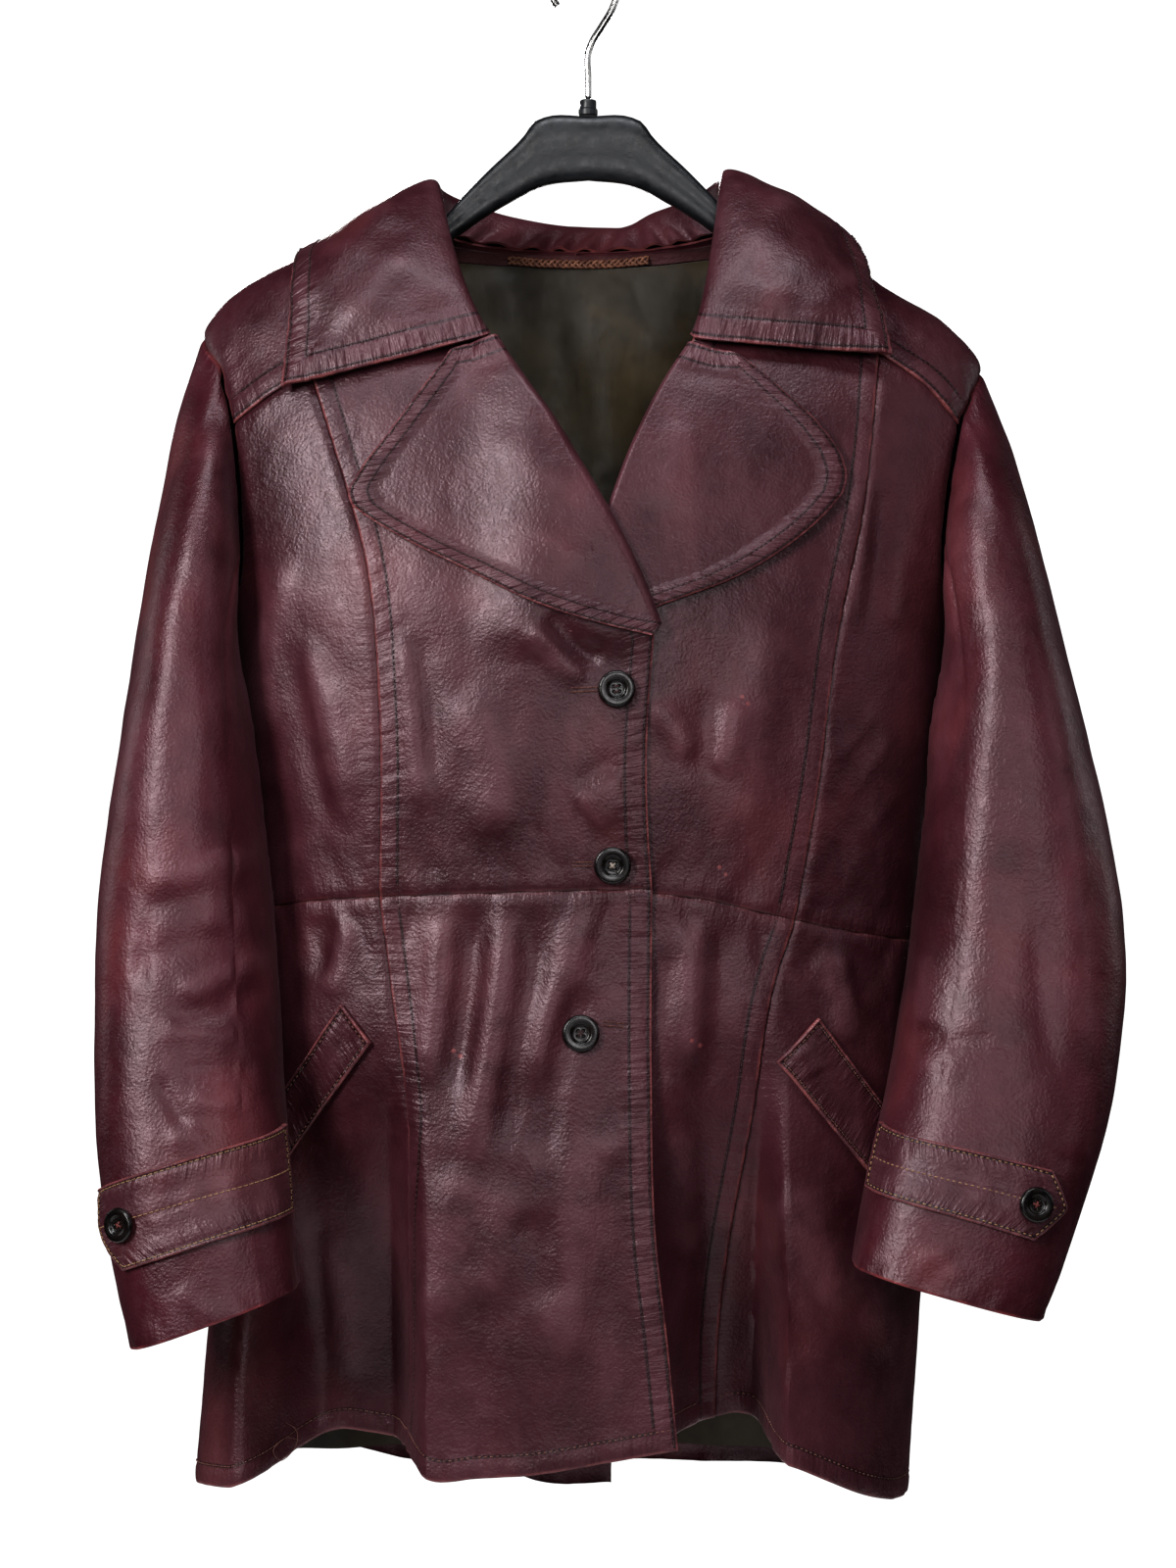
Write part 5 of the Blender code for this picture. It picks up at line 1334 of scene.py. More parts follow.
def make_lapels():
    """Each lapel, rolled over its front: an arc round the roll line, then down to its edge."""
    for side in ("l", "r"):
        left = side == "l"
        gorge = leg(GORGE[side], 5)
        roll = leg((GORGE[side][0], *ROLL[side][1:]), 14)
        edge = leg(LAPEL_EDGE[side], 7)
        edge = chain(edge, leg(LAPEL_FOOT[side], 7))
        foot = straight(roll[-1], edge[-1], 5)

        def on(places):
            return skin(places, 0, side)

        places = trim(spread(gorge, foot, roll, edge, on, 2.0), on)
        base = on(places)
        runs = border_runs(base)
        across = runs["left"][1] / (runs["left"][1] + runs["right"][1])
        ease = np.linspace(1, 0, len(places))[:, None] ** 0.5
        bulge = LAPEL_BULGES[side] * (1 - smooth(across)) * ease + LAPEL_CURL * smooth((across - 0.3) / 0.7)
        rest = (lap_lift(places) if left else 0) + LAPEL_GAPS[side] + bulge
        relief = body_relief(places, side)
        borders = {"right": REVERS, "top": REVERS}
        sewing = sewn({"right": runs["right"], "top": runs["top"]}, borders)
        quiet = smooth(runs["left"][1] / 12)
        lift = rest + np.maximum(relief, -1.2) + sewing * quiet + 0.4
        outer = skin(places, lift + DOUBLE_LEATHER, side)
        inner = skin(places, lift, side)
        facing = normals(lambda a, b: body(a, b, side), places[:, 0, 0], places[:, 0, 1], 1e-3, 0.2)
        reach = outer[:, 0] - outer[:, 4]
        reach /= np.linalg.norm(reach, axis=-1, keepdims=True)
        height = (lift[:, 0] + DOUBLE_LEATHER + LEATHER + 2.2)[:, None] / 2
        centre = outer[:, 0] - facing * height
        arc = np.radians(np.linspace(180, 0, LAPEL_ROLL_STEPS + 1)[:-1])[None, :, None]
        bend = centre[:, None] + facing[:, None] * height[:, None] * np.cos(arc)
        bend = bend + reach[:, None] * height[:, None] * 0.8 * np.sin(arc)
        thick = bend - facing[:, None] * DOUBLE_LEATHER * np.cos(arc) * 0.8
        thick = thick - reach[:, None] * DOUBLE_LEATHER * np.sin(arc)
        outer = np.concatenate((bend, outer), axis=1)
        inner = np.concatenate((thick, inner), axis=1)
        runs = border_runs(outer)
        # paler round the roll towards the lapel's face: a painted sheen on the rolled edge, with some wear
        wear_and_sheen = np.tile(np.linspace(0.2, 0.9, LAPEL_ROLL_STEPS), (len(bend), 1))
        wear_and_sheen = np.clip(np.concatenate((wear_and_sheen, relief * 0.5), axis=1), 0, 1)
        placed = add_wall(f"worn_lapel_{side}", outer, inner, FINISHES["body"], runs, borders, wear_and_sheen)
        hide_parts(f"lapel_{side}")
        declare(outer)
        for row in REVERS.rows:
            sew("lapels", outer, runs, "right", row, row, 4)
        row = REVERS.rows[0]
        sew("lapels", outer, runs, "top", row, runs["top"][0][0, LAPEL_ROLL_STEPS] + 4, row)


def make_welts():
    """The slanted pocket welts, sewn all round."""
    for side, corners in WELT_CORNERS.items():
        high, inner, low, outer = corners
        sides = leg((high, inner), 3), leg((outer, low), 3), leg((high, outer), 9), leg((inner, low), 9)

        def on(places):
            return skin(places, 0, side)

        places = spread(*sides, on, 1.8)
        base = on(places)
        runs = border_runs(base)
        borders = {edge: WELT for edge in runs}
        rest = body_relief(places, side) + WELT_GAPS[side]
        x, z = base[..., 0], base[..., 2]
        pull = 0.5 * np.sin(x / 4.3 + z / 16) * np.sin(z / 21)
        lift = rest + sewn(runs, borders) + 0.3 + pull
        out = skin(places, lift + DOUBLE_LEATHER, side)
        under = skin(places, rest, side)
        # the welt is painted a little paler, more on its waves: part wear, part a painted sheen
        wear_and_sheen = np.clip(0.2 + pull, 0, 1)
        placed = add_wall(f"worn_pocket_welt_{side}", out, under, FINISHES["body"], runs, borders, wear_and_sheen)
        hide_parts(f"pocket_welt_{side}")
        declare(base)
        row = WELT.rows[0]
        for edge in runs:
            sew("welts", out, runs, edge, row, row, row)


def make_inside():
    """The facing round the back neck, its braided loop, and the satin lining of the back."""
    turns = np.linspace(*FACING_TURNS, 181) * math.pi
    seam = neck_back(turns)
    top, low = (np.stack((turns, seam - drop), -1) for drop in (1.5, FACING_HEIGHT))

    def on(places):
        return skin(places, 0, "")

    ends = [straight(a, b, 1) for a, b in ((top[0], low[0]), (top[-1], low[-1]))]
    places = spread(top, low, *ends, on, 2.4)
    base = on(places)
    runs = border_runs(base)
    borders = {edge: PLAIN for edge in runs}
    wave = 0.35 * np.sin(runs["top"][0] / 4.1 + np.sin(runs["top"][0] / 17))
    lift = -LEATHER - INSIDE_GAP + wave - 0.35
    outer, inner = skin(places, lift, ""), skin(places, lift - LINING, "")
    placed = add_wall("worn_neck_facing", outer, inner, FINISHES["inner"], runs, borders)
    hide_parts("neck_facing")
    declare(base)

    turns = np.linspace(*FACING_TURNS, 181) * math.pi
    top = np.stack((turns, neck_back(turns) - FACING_HEIGHT - LAY_GAP), -1)
    turns = np.linspace(*LINING_HEM_TURNS, 181) * math.pi
    low = np.stack((turns, LINING_HEM + 0 * turns), -1)
    spots = [(turn * math.pi, z) for turn, z in LINING_SIDE]
    left = through([tuple(top[0]), *spots, tuple(low[0])], np.linspace(0, 1, 181))
    right = left.copy()
    right[:, 0] = 3 * math.pi - left[:, 0]
    places = spread(top, low, left, right, on, 5.4)
    base = on(places)
    x, z = base[..., 0], base[..., 2]
    down = smooth((neck_back(places[..., 0]) - z) / 60)
    soft = np.sin(
        x / 15 + 1.4 * np.sin(z / 70),
    ) + 0.5 * np.sin(x / 7.3 + z / 41) + 0.6 * np.sin(z / 26 + x / 33)
    lift = -LEATHER - INSIDE_GAP - LINING_EASE * down - (0.4 + down) * (2.4 + 1.7 * soft)
    outer, inner = skin(places, lift, ""), skin(places, lift - LINING, "")
    placed = add_wall("soft_lining_back", outer, inner, FINISHES["satin"])
    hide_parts("lining_back")
    declare(base)

    turns = np.linspace(*LOOP_TURNS, 220) * math.pi
    sag = LOOP_SAG * np.sin(np.linspace(0, math.pi, 220))
    middle = np.stack((turns, neck_back(turns) - sum(LOOP_DROP) / 2 - sag), -1)
    depth = -LEATHER - INSIDE_GAP - LINING - LAY_GAP - LOOP_THICK
    spine = skin(middle, depth + 0 * turns, "")
    run = np.concatenate(([0], np.cumsum(np.linalg.norm(np.diff(spine, axis=0), axis=1))))
    inward = skin(middle, depth - 1 + 0 * turns, "") - spine
    points, faces = [], []
    for strand in range(3):
        phase = run * 2 * math.pi / 11 + strand * 2 * math.pi / 3
        line = spine + np.array((0, 0, 1)) * (1.9 * np.sin(phase))[:, None]
        line = line + inward * (0.55 * np.sin(2 * phase))[:, None]
        spots, quads = tube(line, 0.95, 8)
        faces.append(quads + sum(len(part) for part in points))
        points.append(spots)
    placed = add_mesh(
        "braided_hanging_loop", np.concatenate(points), np.concatenate(faces).tolist(),
        FINISHES["braid"], 0,
    )
    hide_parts("hanging_loop")


def ring_quads(rows, sides, flip=False):
    """Quads between rings of points that follow one another."""
    near = np.arange(rows - 1)[:, None] * sides + np.arange(sides)
    beside = np.arange(rows - 1)[:, None] * sides + (np.arange(sides) + 1) % sides
    corners = (
        near, beside, beside + sides, near + sides,
    ) if flip else (near, near + sides, beside + sides, beside)
    return np.stack(corners, -1).reshape(-1, 4)


def tube(line, radius, sides):
    """Points and quads of a round tube along a line, its ends drawn in to a small cap."""
    way = np.gradient(line, axis=0)
    way /= np.linalg.norm(way, axis=1, keepdims=True)
    guide = np.array((0, 1, 0)) if abs(way[0, 1]) < 0.8 else np.array((1, 0, 0))
    side = np.cross(way, guide)
    side /= np.linalg.norm(side, axis=1, keepdims=True)
    up = np.cross(side, way)
    size = np.full(len(line), radius, float)
    size[[0, -1]] = radius * 0.4
    angle = np.arange(sides) * 2 * math.pi / sides
    round_ = side[:, None] * np.cos(angle)[:, None] + up[:, None] * np.sin(angle)[:, None]
    points = line[:, None] + round_ * size[:, None, None]
    quads = ring_quads(len(line), sides)
    fan = []
    for start, turn in ((0, 1), ((len(line) - 1) * sides, -1)):
        ends = start + np.arange(sides)
        for a in range(0, sides - 2, 2):
            cap = (ends[0], ends[a + 1], ends[a + 2], ends[(a + 3) % sides])
            fan.append(cap[::turn] if turn > 0 else cap[::-1])
    return points.reshape(-1, 3), np.concatenate((quads, np.array(fan)))


def frame_at(centre, axis):
    """Two directions square to an axis: one level, one as near upright as it can be."""
    axis = np.array(axis, float) / np.linalg.norm(axis)
    level = np.cross(axis, (0, 0, 1))
    level /= np.linalg.norm(level)
    return np.array(centre, float), axis, level, np.cross(level, axis)


def make_button(name, node, place, axis, width, turn, thread, weave):
    """A horn button: dished inside a raised rim, with four holes and thread across them."""
    centre, axis, level, upright = frame_at(place, axis)
    r, thick = width / 2, BUTTON_THICK
    shape = profile([(reach, thick * high) for reach, high in BUTTON_PROFILE])
    sides = BUTTON_SIDES
    share = np.concatenate((np.linspace(0, 0.5, 26)[1:], np.linspace(0.5, 1, 22)[1:]))
    angle = np.arange(sides) * 2 * math.pi / sides
    u = share[:, None] * np.cos(angle) * r
    v = share[:, None] * np.sin(angle) * r
    high = shape(share)[:, None] + 0 * u
    tilt = math.radians(turn)
    quarters = [tilt + k * math.pi / 2 for k in range(4)]
    holes = [(HOLES_OUT * math.cos(quarter), HOLES_OUT * math.sin(quarter)) for quarter in quarters]
    for hu, hv in holes:
        gap = np.hypot(u - hu, v - hv)
        high = high - 1.5 * (1 - smooth((gap - 0.55) / 0.5)) + 0.07 * np.exp(-(((gap - 1.25) / 0.3) ** 2))
    top = centre + level * u[..., None] + upright * v[..., None] + axis * high[..., None]
    low_share = (0.985, 0.9, 0.7, 0.35)
    low_high = (thick * 0.22, thick * 0.03, 0, 0)
    low = [
        centre + axis * h
        + s * r * (level * np.cos(angle)[:, None] + upright * np.sin(angle)[:, None])
        for s, h in zip(low_share, low_high)
    ]
    points = np.concatenate((top.reshape(-1, 3), np.concatenate(low), [centre + axis * shape(0), centre]))
    rows = len(share) + len(low_share)
    faces = ring_quads(rows, sides).tolist()
    first, last = len(points) - 2, len(points) - 1
    end = (rows - 1) * sides
    faces += [(first, k, (k + 1) % sides) for k in range(sides)]
    faces += [(end + k, last, end + (k + 1) % sides) for k in range(sides)]
    placed = add_mesh(name, points, faces, FINISHES["horn"], 50)
    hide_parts(node)

    ends = [centre + level * hu + upright * hv for hu, hv in holes]
    pairs = ((0, 2), (1, 3)) if weave == "cross" else ((0, 1), (3, 2))
    groups, faces, start = [], [], 0
    for a, b in pairs:
        for shift in (-0.28, 0.28):
            t = np.linspace(0, 1, 15)[:, None]
            beside = np.cross(axis, ends[b] - ends[a])
            beside /= np.linalg.norm(beside)
            rise = thick * 0.5 - 1.1 + 1.75 * np.sin(math.pi * t) ** 0.35
            line = ends[a] * (1 - t) + ends[b] * t + axis * rise + beside * shift
            spots, quads = tube(line, 0.26, 6)
            groups.append(spots)
            faces.append(quads + start)
            start += len(spots)
    shank = centre + axis * np.linspace(-1.6, 0.4, 5)[:, None]
    spots, quads = tube(shank, 1.5, 10)
    groups.append(spots)
    faces.append(quads + start)
    add_mesh(
        f"{name}_thread", np.concatenate(groups), np.concatenate(faces).tolist(), FINISHES[thread], 0,
    )


def make_buttons():
    """Three buttons down the front and one on each sleeve's tab."""
    looks = (("thread_dark", "bars", 40), ("thread_pale", "cross", 50), ("thread_dark", "cross", 45))
    for number, (x, z, gap) in enumerate(FRONT_BUTTONS, 1):
        place = np.array([[turn_at(x, z), z]])
        lift = lap_lift(place) + gap + np.maximum(body_relief(place, "l"), -0.6) * 0.5
        seat = skin(place, lift, "l")[0]
        axis = skin(place, lift + 1, "l")[0] - seat
        thread, weave, turn = looks[number - 1]
        make_button(
            f"horn_button_front_{number}", f"button_front_{number}", seat, axis, BUTTON, turn, thread,
            weave,
        )
    for side, spot in CUFF_BUTTON_SPOT.items():
        place = on_sleeve(side, *spot)[None]
        out = TAB_GAP + DOUBLE_LEATHER + 0.9 + np.maximum(sleeve_relief(side, place), 0)
        seat = sleeve_skin(side, place, out)[0]
        axis = sleeve_skin(side, place, out + 8)[0] - seat
        make_button(
            f"horn_button_cuff_{side}", f"button_cuff_{side}", seat, axis, CUFF_BUTTON, 20,
            "thread_red", "cross",
        )


def make_hanger():
    """The moulded hanger with its boss, and the bent steel hook."""
    half = np.linspace(0, 1, 49)
    top, foot = through(HANGER_TOP, half), through(HANGER_FOOT, half)
    top = np.vstack((top[:0:-1] * (-1, 1), top))
    foot = np.vstack((foot[:0:-1] * (-1, 1), foot))
    thick = profile(HANGER_HALF)(np.abs(top[:, 0]))
    sides = HANGER_RING
    angle = (np.arange(sides) + 0.5) * 2 * math.pi / sides
    power = HANGER_SQUARENESS
    reach = (np.abs(np.cos(angle)) ** power + np.abs(np.sin(angle)) ** power) ** (-1 / power)
    middle, rise = (top + foot) / 2, (top - foot) / 2
    up = (reach * np.sin(angle))[None, :, None]
    spots = middle[:, None] + rise[:, None] * up
    y = thick[:, None] * (reach * np.cos(angle))[None]
    points = np.stack((spots[..., 0], y, spots[..., 1]), -1)
    # a shallow flute along both faces
    flute = 0.8 * np.exp(-((np.sin(angle) / 0.35) ** 2)) * np.sign(np.cos(angle))
    inside = smooth((190 - np.abs(points[..., 0])) / 12)
    points[..., 1] -= flute[None] * inside
    rows = len(points)
    ends = [np.mean(points[0], axis=0), np.mean(points[-1], axis=0)]
    points = np.concatenate((points.reshape(-1, 3), ends))
    faces = ring_quads(rows, sides, flip=True).tolist()
    end = (rows - 1) * sides
    faces += [(rows * sides, (k + 1) % sides, k) for k in range(sides)]
    faces += [(rows * sides + 1, end + k, end + (k + 1) % sides) for k in range(sides)]
    placed = add_mesh("moulded_hanger", points, faces, FINISHES["plastic"], 45)
    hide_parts("hanger")

    rings = np.array(BOSS_RINGS)
    angle = np.arange(BOSS_SIDES) * 2 * math.pi / BOSS_SIDES
    points = np.stack((
        rings[:, :1] * np.cos(angle), rings[:, :1] * np.sin(angle), rings[:, 1:] + 0 * angle,
    ), -1).reshape(-1, 3)
    faces = ring_quads(len(rings), BOSS_SIDES, flip=True).tolist()
    first_ring = np.arange(BOSS_SIDES)
    faces += [tuple(first_ring[::-1]), tuple(first_ring + (len(rings) - 1) * BOSS_SIDES)]
    placed = add_mesh("hanger_boss_turned", points, faces, FINISHES["plastic"], 35)
    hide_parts("hanger_boss")

    start, end = (math.radians(angle) for angle in HOOK_ARC_DEGREES)
    bend = np.linspace(start, end, 33)
    arc = np.array(HOOK_CENTRE) + HOOK_RADIUS * np.stack((np.cos(bend), np.sin(bend)), -1)
    route = through([*HOOK_STEM, *arc], np.linspace(0, 1, 150))
    line = np.stack((route[:, 0], 0 * route[:, 0], route[:, 1]), -1)
    # the tip is rounded by three shorter rings of the tube
    line = np.concatenate((line, line[-1:] + (line[-1:] - line[-2:-1]) * np.array(((0.35,), (0.6,)))))
    points, quads = tube(line, WIRE / 2, 28)
    placed = add_mesh("bent_hook", points, quads.tolist(), FINISHES["steel"], 0)
    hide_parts("hook")


def make_buttonholes():
    """Worked buttonholes beside the buttons: short bars of thread over a slit, knotted along it."""
    for (x0, z0), (x1, z1) in BUTTONHOLES:
        t = np.linspace(0, 1, 40)[:, None]
        line = np.array((x0, z0)) * (1 - t) + np.array((x1, z1)) * t
        for shift in (-HOLE_HALF, HOLE_HALF):
            row = line + (0, shift)
            places = np.stack((turn_at(row[:, 0], row[:, 1]), row[:, 1]), -1)
            lift = lap_lift(places) + body_relief(places, "l") + 0.35
            seat = skin(places, lift, "l")
            facing = skin(places, lift + 1, "l") - seat
            way = np.gradient(seat, axis=0)
            beside = np.cross(way, facing) * HOLE_EDGE * np.sign(shift)
            keep_thread("holes", seat, facing, pitch=HOLE_PITCH, length=HOLE_STITCH)
            keep_thread("holes", seat + beside, facing, pitch=HOLE_PITCH, length=HOLE_STITCH)


def make_loose_thread():
    """A thread that has come away from the hem beside the left princess seam."""
    t = np.linspace(0, 1, 70)[:, None]
    line = through(LOOSE_THREAD, t[:, 0])
    places = np.stack((turn_at(line[:, 0], line[:, 1]), line[:, 1]), -1)
    out = body_relief(places, "l") + 1.0 + 1.2 * np.sin(math.pi * t[:, 0])
    spots = skin(places, out, "l")
    points, quads = tube(spots, 0.22, 6)
    add_mesh("loose_hem_thread", points, quads.tolist(), FINISHES["thread"], 0)


# Materials ---------------------------------------------------------


def shader(name):
    """A new material with its node tools: add a node, link two sockets."""
    finish = bpy.data.materials.new(name)
    finish.use_nodes = True
    nodes, links = finish.node_tree.nodes, finish.node_tree.links
    nodes.clear()
    out = nodes.new("ShaderNodeOutputMaterial")
    surface = nodes.new("ShaderNodeBsdfPrincipled")
    links.new(surface.outputs["BSDF"], out.inputs["Surface"])

    def put(value, socket):
        if hasattr(value, "node"):
            links.new(value, socket)
        else:
            socket.default_value = value

    def maths(operation, *values):
        node = nodes.new("ShaderNodeMath")
        node.operation = operation
        node.use_clamp = False
        for value, socket in zip(values, node.inputs):
            put(value, socket)
        return node.outputs[0]

    def noise(scale, detail=3.0, rough=0.5, vector=None, stretch=(1, 1, 1)):
        node = nodes.new("ShaderNodeTexNoise")
        mapping = nodes.new("ShaderNodeMapping")
        mapping.inputs["Scale"].default_value = stretch
        links.new(vector or place, mapping.inputs["Vector"])
        links.new(mapping.outputs[0], node.inputs["Vector"])
        node.inputs["Scale"].default_value = scale
        node.inputs["Detail"].default_value = detail
        node.inputs["Roughness"].default_value = rough
        return node.outputs["Fac"]

    def cells(scale, feature="F1", output="Distance"):
        node = nodes.new("ShaderNodeTexVoronoi")
        node.feature = feature
        links.new(place, node.inputs["Vector"])
        node.inputs["Scale"].default_value = scale
        return node.outputs[output]

    def ramp(value, low, high, start=0.0, end=1.0):
        node = nodes.new("ShaderNodeMapRange")
        node.interpolation_type = "SMOOTHSTEP"
        for number, item in enumerate((value, low, high, start, end)):
            put(item, node.inputs[number])
        return node.outputs[0]

    def blend(share, first, second):
        node = nodes.new("ShaderNodeMix")
        node.data_type = "RGBA"
        put(share, node.inputs[0])
        put(first, node.inputs[6])
        put(second, node.inputs[7])
        return node.outputs[2]

    def attribute(key, output="Fac"):
        node = nodes.new("ShaderNodeAttribute")
        node.attribute_name = key
        return node.outputs[output]

    def split(value, kind="ShaderNodeSeparateXYZ"):
        node = nodes.new(kind)
        links.new(value, node.inputs[0])
        return node.outputs

    def bump(height, distance, strength=1.0, normal=None):
        node = nodes.new("ShaderNodeBump")
        put(height, node.inputs["Height"])
        node.inputs["Distance"].default_value = distance
        node.inputs["Strength"].default_value = strength
        if normal is not None:
            links.new(normal, node.inputs["Normal"])
        return node.outputs[0]

    coordinates = nodes.new("ShaderNodeTexCoord")
    place = coordinates.outputs["Object"]
    tools = namedtuple(
        "Tools", "finish put maths noise cells ramp blend attribute split bump surface place nodes links",
    )
    return tools(
        finish, put, maths, noise, cells, ramp, blend, attribute, split, bump, surface, place, nodes,
        links,
    )


def leather(name, dark, base, light, edge, warm, gloss, patches=()):
    """Worn, polished leather: grain, creases, puckered seams, ridges paler from wear and a painted sheen,
    painted shade along seams and rows of thread, and red edges.
    """
    t = shader(name)
    uv = t.nodes.new("ShaderNodeUVMap")
    uv.uv_map = "seam"
    u, v, _ = t.split(uv.outputs[0])
    row, second, pucker = t.split(t.attribute("sewing", "Color"), "ShaderNodeSeparateColor")
    wear = t.attribute("sewing", "Alpha")
    ridge = t.attribute("ridge")
    large = t.noise(7, 4, 0.55)
    mottle = t.noise(38, 5, 0.6)
    fine = t.noise(210, 3, 0.55)
    share = t.maths("ADD", t.maths("MULTIPLY", large, 0.6), t.maths("MULTIPLY", mottle, 0.4))
    colour = t.blend(t.ramp(share, 0.3, 0.72), dark, base)
    streak = t.noise(20, 5, 0.65, stretch=(1.6, 1.6, 0.5))
    colour = t.blend(t.ramp(streak, 0.5, 0.78, 0, 0.3), colour, light)
    # ridges blend towards the light tone: part wear, part a painted sheen that stands in for highlights on
    # the crests
    colour = t.blend(
        t.maths("MULTIPLY", t.ramp(ridge, 0.1, 0.9), t.ramp(mottle, 0.3, 0.6, 0.12, 0.4)), colour, light,
    )
    redder = t.ramp(t.noise(13, 3, 0.5, stretch=(1, 1, 0.7)), 0.5, 0.75, 0, warm)
    colour = t.blend(redder, colour, edge)
    for spot, size, strength in patches:
        gap = t.nodes.new("ShaderNodeVectorMath")
        gap.operation = "DISTANCE"
        t.links.new(t.place, gap.inputs[0])
        gap.inputs[1].default_value = spot
        away = t.maths(
            "ADD", gap.outputs["Value"], t.maths("MULTIPLY", t.maths("SUBTRACT", mottle, 0.5), size * 1.2),
        )
        colour = t.blend(t.ramp(away, size * 0.4, size, strength, 0), colour, edge)

    inside = t.ramp(v, 0.0, 0.0022, 1, 0)
    along_edge = t.noise(55, 4, 0.6)
    rubbed = t.maths(
        "MULTIPLY", t.maths("MULTIPLY", inside, wear), t.ramp(along_edge, 0.38, 0.62, 0.15, 0.85),
    )
    colour = t.blend(rubbed, colour, edge)
    # painted shade: a near-black line along each border's edge, weaker where it is worn, standing in for
    # the shade down in the seam
    seam = t.maths("MULTIPLY", t.ramp(v, 0.0001, 0.0013, 1, 0), t.maths("SUBTRACT", 1.0, wear))
    colour = t.blend(t.maths("MULTIPLY", seam, 0.85), colour, (0.006, 0.0015, 0.002, 1))
    band = t.ramp(t.maths("SUBTRACT", v, row), -0.0015, 0.003, 1, 0)
    band = t.maths("MULTIPLY", band, t.ramp(row, 0, 0.002))
    band_tone = t.maths(
        "MULTIPLY", t.maths("MULTIPLY", band, pucker), t.ramp(mottle, 0.35, 0.65, 0.1, 0.45),
    )
    colour = t.blend(band_tone, colour, light)
    # painted shade: a near-black line along each row of thread, standing in for the shade in the groove it
    # presses
    near_row = t.ramp(t.maths("ABSOLUTE", t.maths("SUBTRACT", v, row)), 0.0004, 0.0014, 1, 0)
    near_row = t.maths("MULTIPLY", near_row, t.ramp(row, 0, 0.002))
    near_second = t.ramp(t.maths("ABSOLUTE", t.maths("SUBTRACT", v, second)), 0.0004, 0.0014, 1, 0)
    near_second = t.maths("MULTIPLY", near_second, t.ramp(second, 0, 0.001))
    groove = t.maths("MAXIMUM", near_row, near_second)
    colour = t.blend(t.maths("MULTIPLY", groove, 0.92), colour, (0.007, 0.0014, 0.002, 1))
    t.put(colour, t.surface.inputs["Base Color"])

    scuffs = t.ramp(t.noise(95, 6, 0.7, stretch=(1, 1, 0.35)), 0.55, 0.8)
    rough = t.ramp(
        t.maths("ADD", t.maths("MULTIPLY", large, 0.4), t.maths("MULTIPLY", fine, 0.6)), 0.3, 0.7, *gloss,
    )
    rough = t.maths("ADD", rough, t.maths("MULTIPLY", scuffs, 0.1))
    t.put(rough, t.surface.inputs["Roughness"])
    t.surface.inputs["Specular IOR Level"].default_value = 0.46
    t.surface.inputs["Specular Tint"].default_value = (1.0, 0.80, 0.86, 1)
    t.surface.inputs["Sheen Weight"].default_value = 0.05
    t.surface.inputs["Sheen Roughness"].default_value = 0.45
    t.surface.inputs["Sheen Tint"].default_value = (0.85, 0.55, 0.6, 1)
    t.surface.inputs["Coat Weight"].default_value = 0.04
    t.surface.inputs["Coat Roughness"].default_value = 0.28

    grain = t.cells(620, "SMOOTH_F1")
    pore = t.noise(1500, 2, 0.5)
    crease = t.ramp(t.noise(170, 5, 0.62, stretch=(1, 1, 0.6)), 0.35, 0.6)
    soft = t.noise(60, 4, 0.6)
    wide = t.noise(24, 3, 0.5, stretch=(1, 1, 0.7))
    shaped = t.nodes.new("ShaderNodeCombineXYZ")
    t.put(t.maths("MULTIPLY", u, 1.0), shaped.inputs[0])
    t.put(t.maths("MULTIPLY", v, 0.13), shaped.inputs[1])
    across = t.noise(240, 3, 0.55, vector=shaped.outputs[0])
    within = t.ramp(t.maths("SUBTRACT", v, t.maths("MAXIMUM", row, 0.008)), -0.003, 0.009, 1, 0)
    across = t.maths("MULTIPLY", t.maths("MULTIPLY", across, within), pucker)
    normal = t.bump(wide, 0.006, 0.30)
    normal = t.bump(soft, 0.0026, 0.18, normal)
    normal = t.bump(across, 0.0042, 0.95, normal)
    normal = t.bump(groove, 0.0008, -1.0, normal)
    normal = t.bump(crease, 0.0006, 0.04, normal)
    normal = t.bump(grain, 0.0005, 0.42, normal)
    normal = t.bump(pore, 0.0003, 0.45, normal)
    t.links.new(normal, t.surface.inputs["Normal"])
    return t.finish


def satin(name):
    """Olive brown lining: a fine twill that shines along its folds."""
    t = shader(name)
    tone = t.noise(16, 4, 0.6)
    colour = t.blend(t.ramp(tone, 0.3, 0.7), (0.013, 0.0088, 0.0040, 1), (0.052, 0.037, 0.018, 1))
    t.put(colour, t.surface.inputs["Base Color"])
    t.put(t.ramp(t.noise(90, 4, 0.6), 0.3, 0.7, 0.3, 0.46), t.surface.inputs["Roughness"])
    t.surface.inputs["Specular IOR Level"].default_value = 0.3
    t.surface.inputs["Sheen Weight"].default_value = 0.15
    t.surface.inputs["Anisotropic"].default_value = 0.4
    x, _, z = t.split(t.place)
    twill = t.maths("SINE", t.maths("MULTIPLY", t.maths("ADD", x, z), 7000))
    normal = t.bump(t.noise(30, 3, 0.5, stretch=(1, 1, 0.4)), 0.004, 0.4)
    t.links.new(t.bump(twill, 0.0001, 0.25, normal), t.surface.inputs["Normal"])
    return t.finish


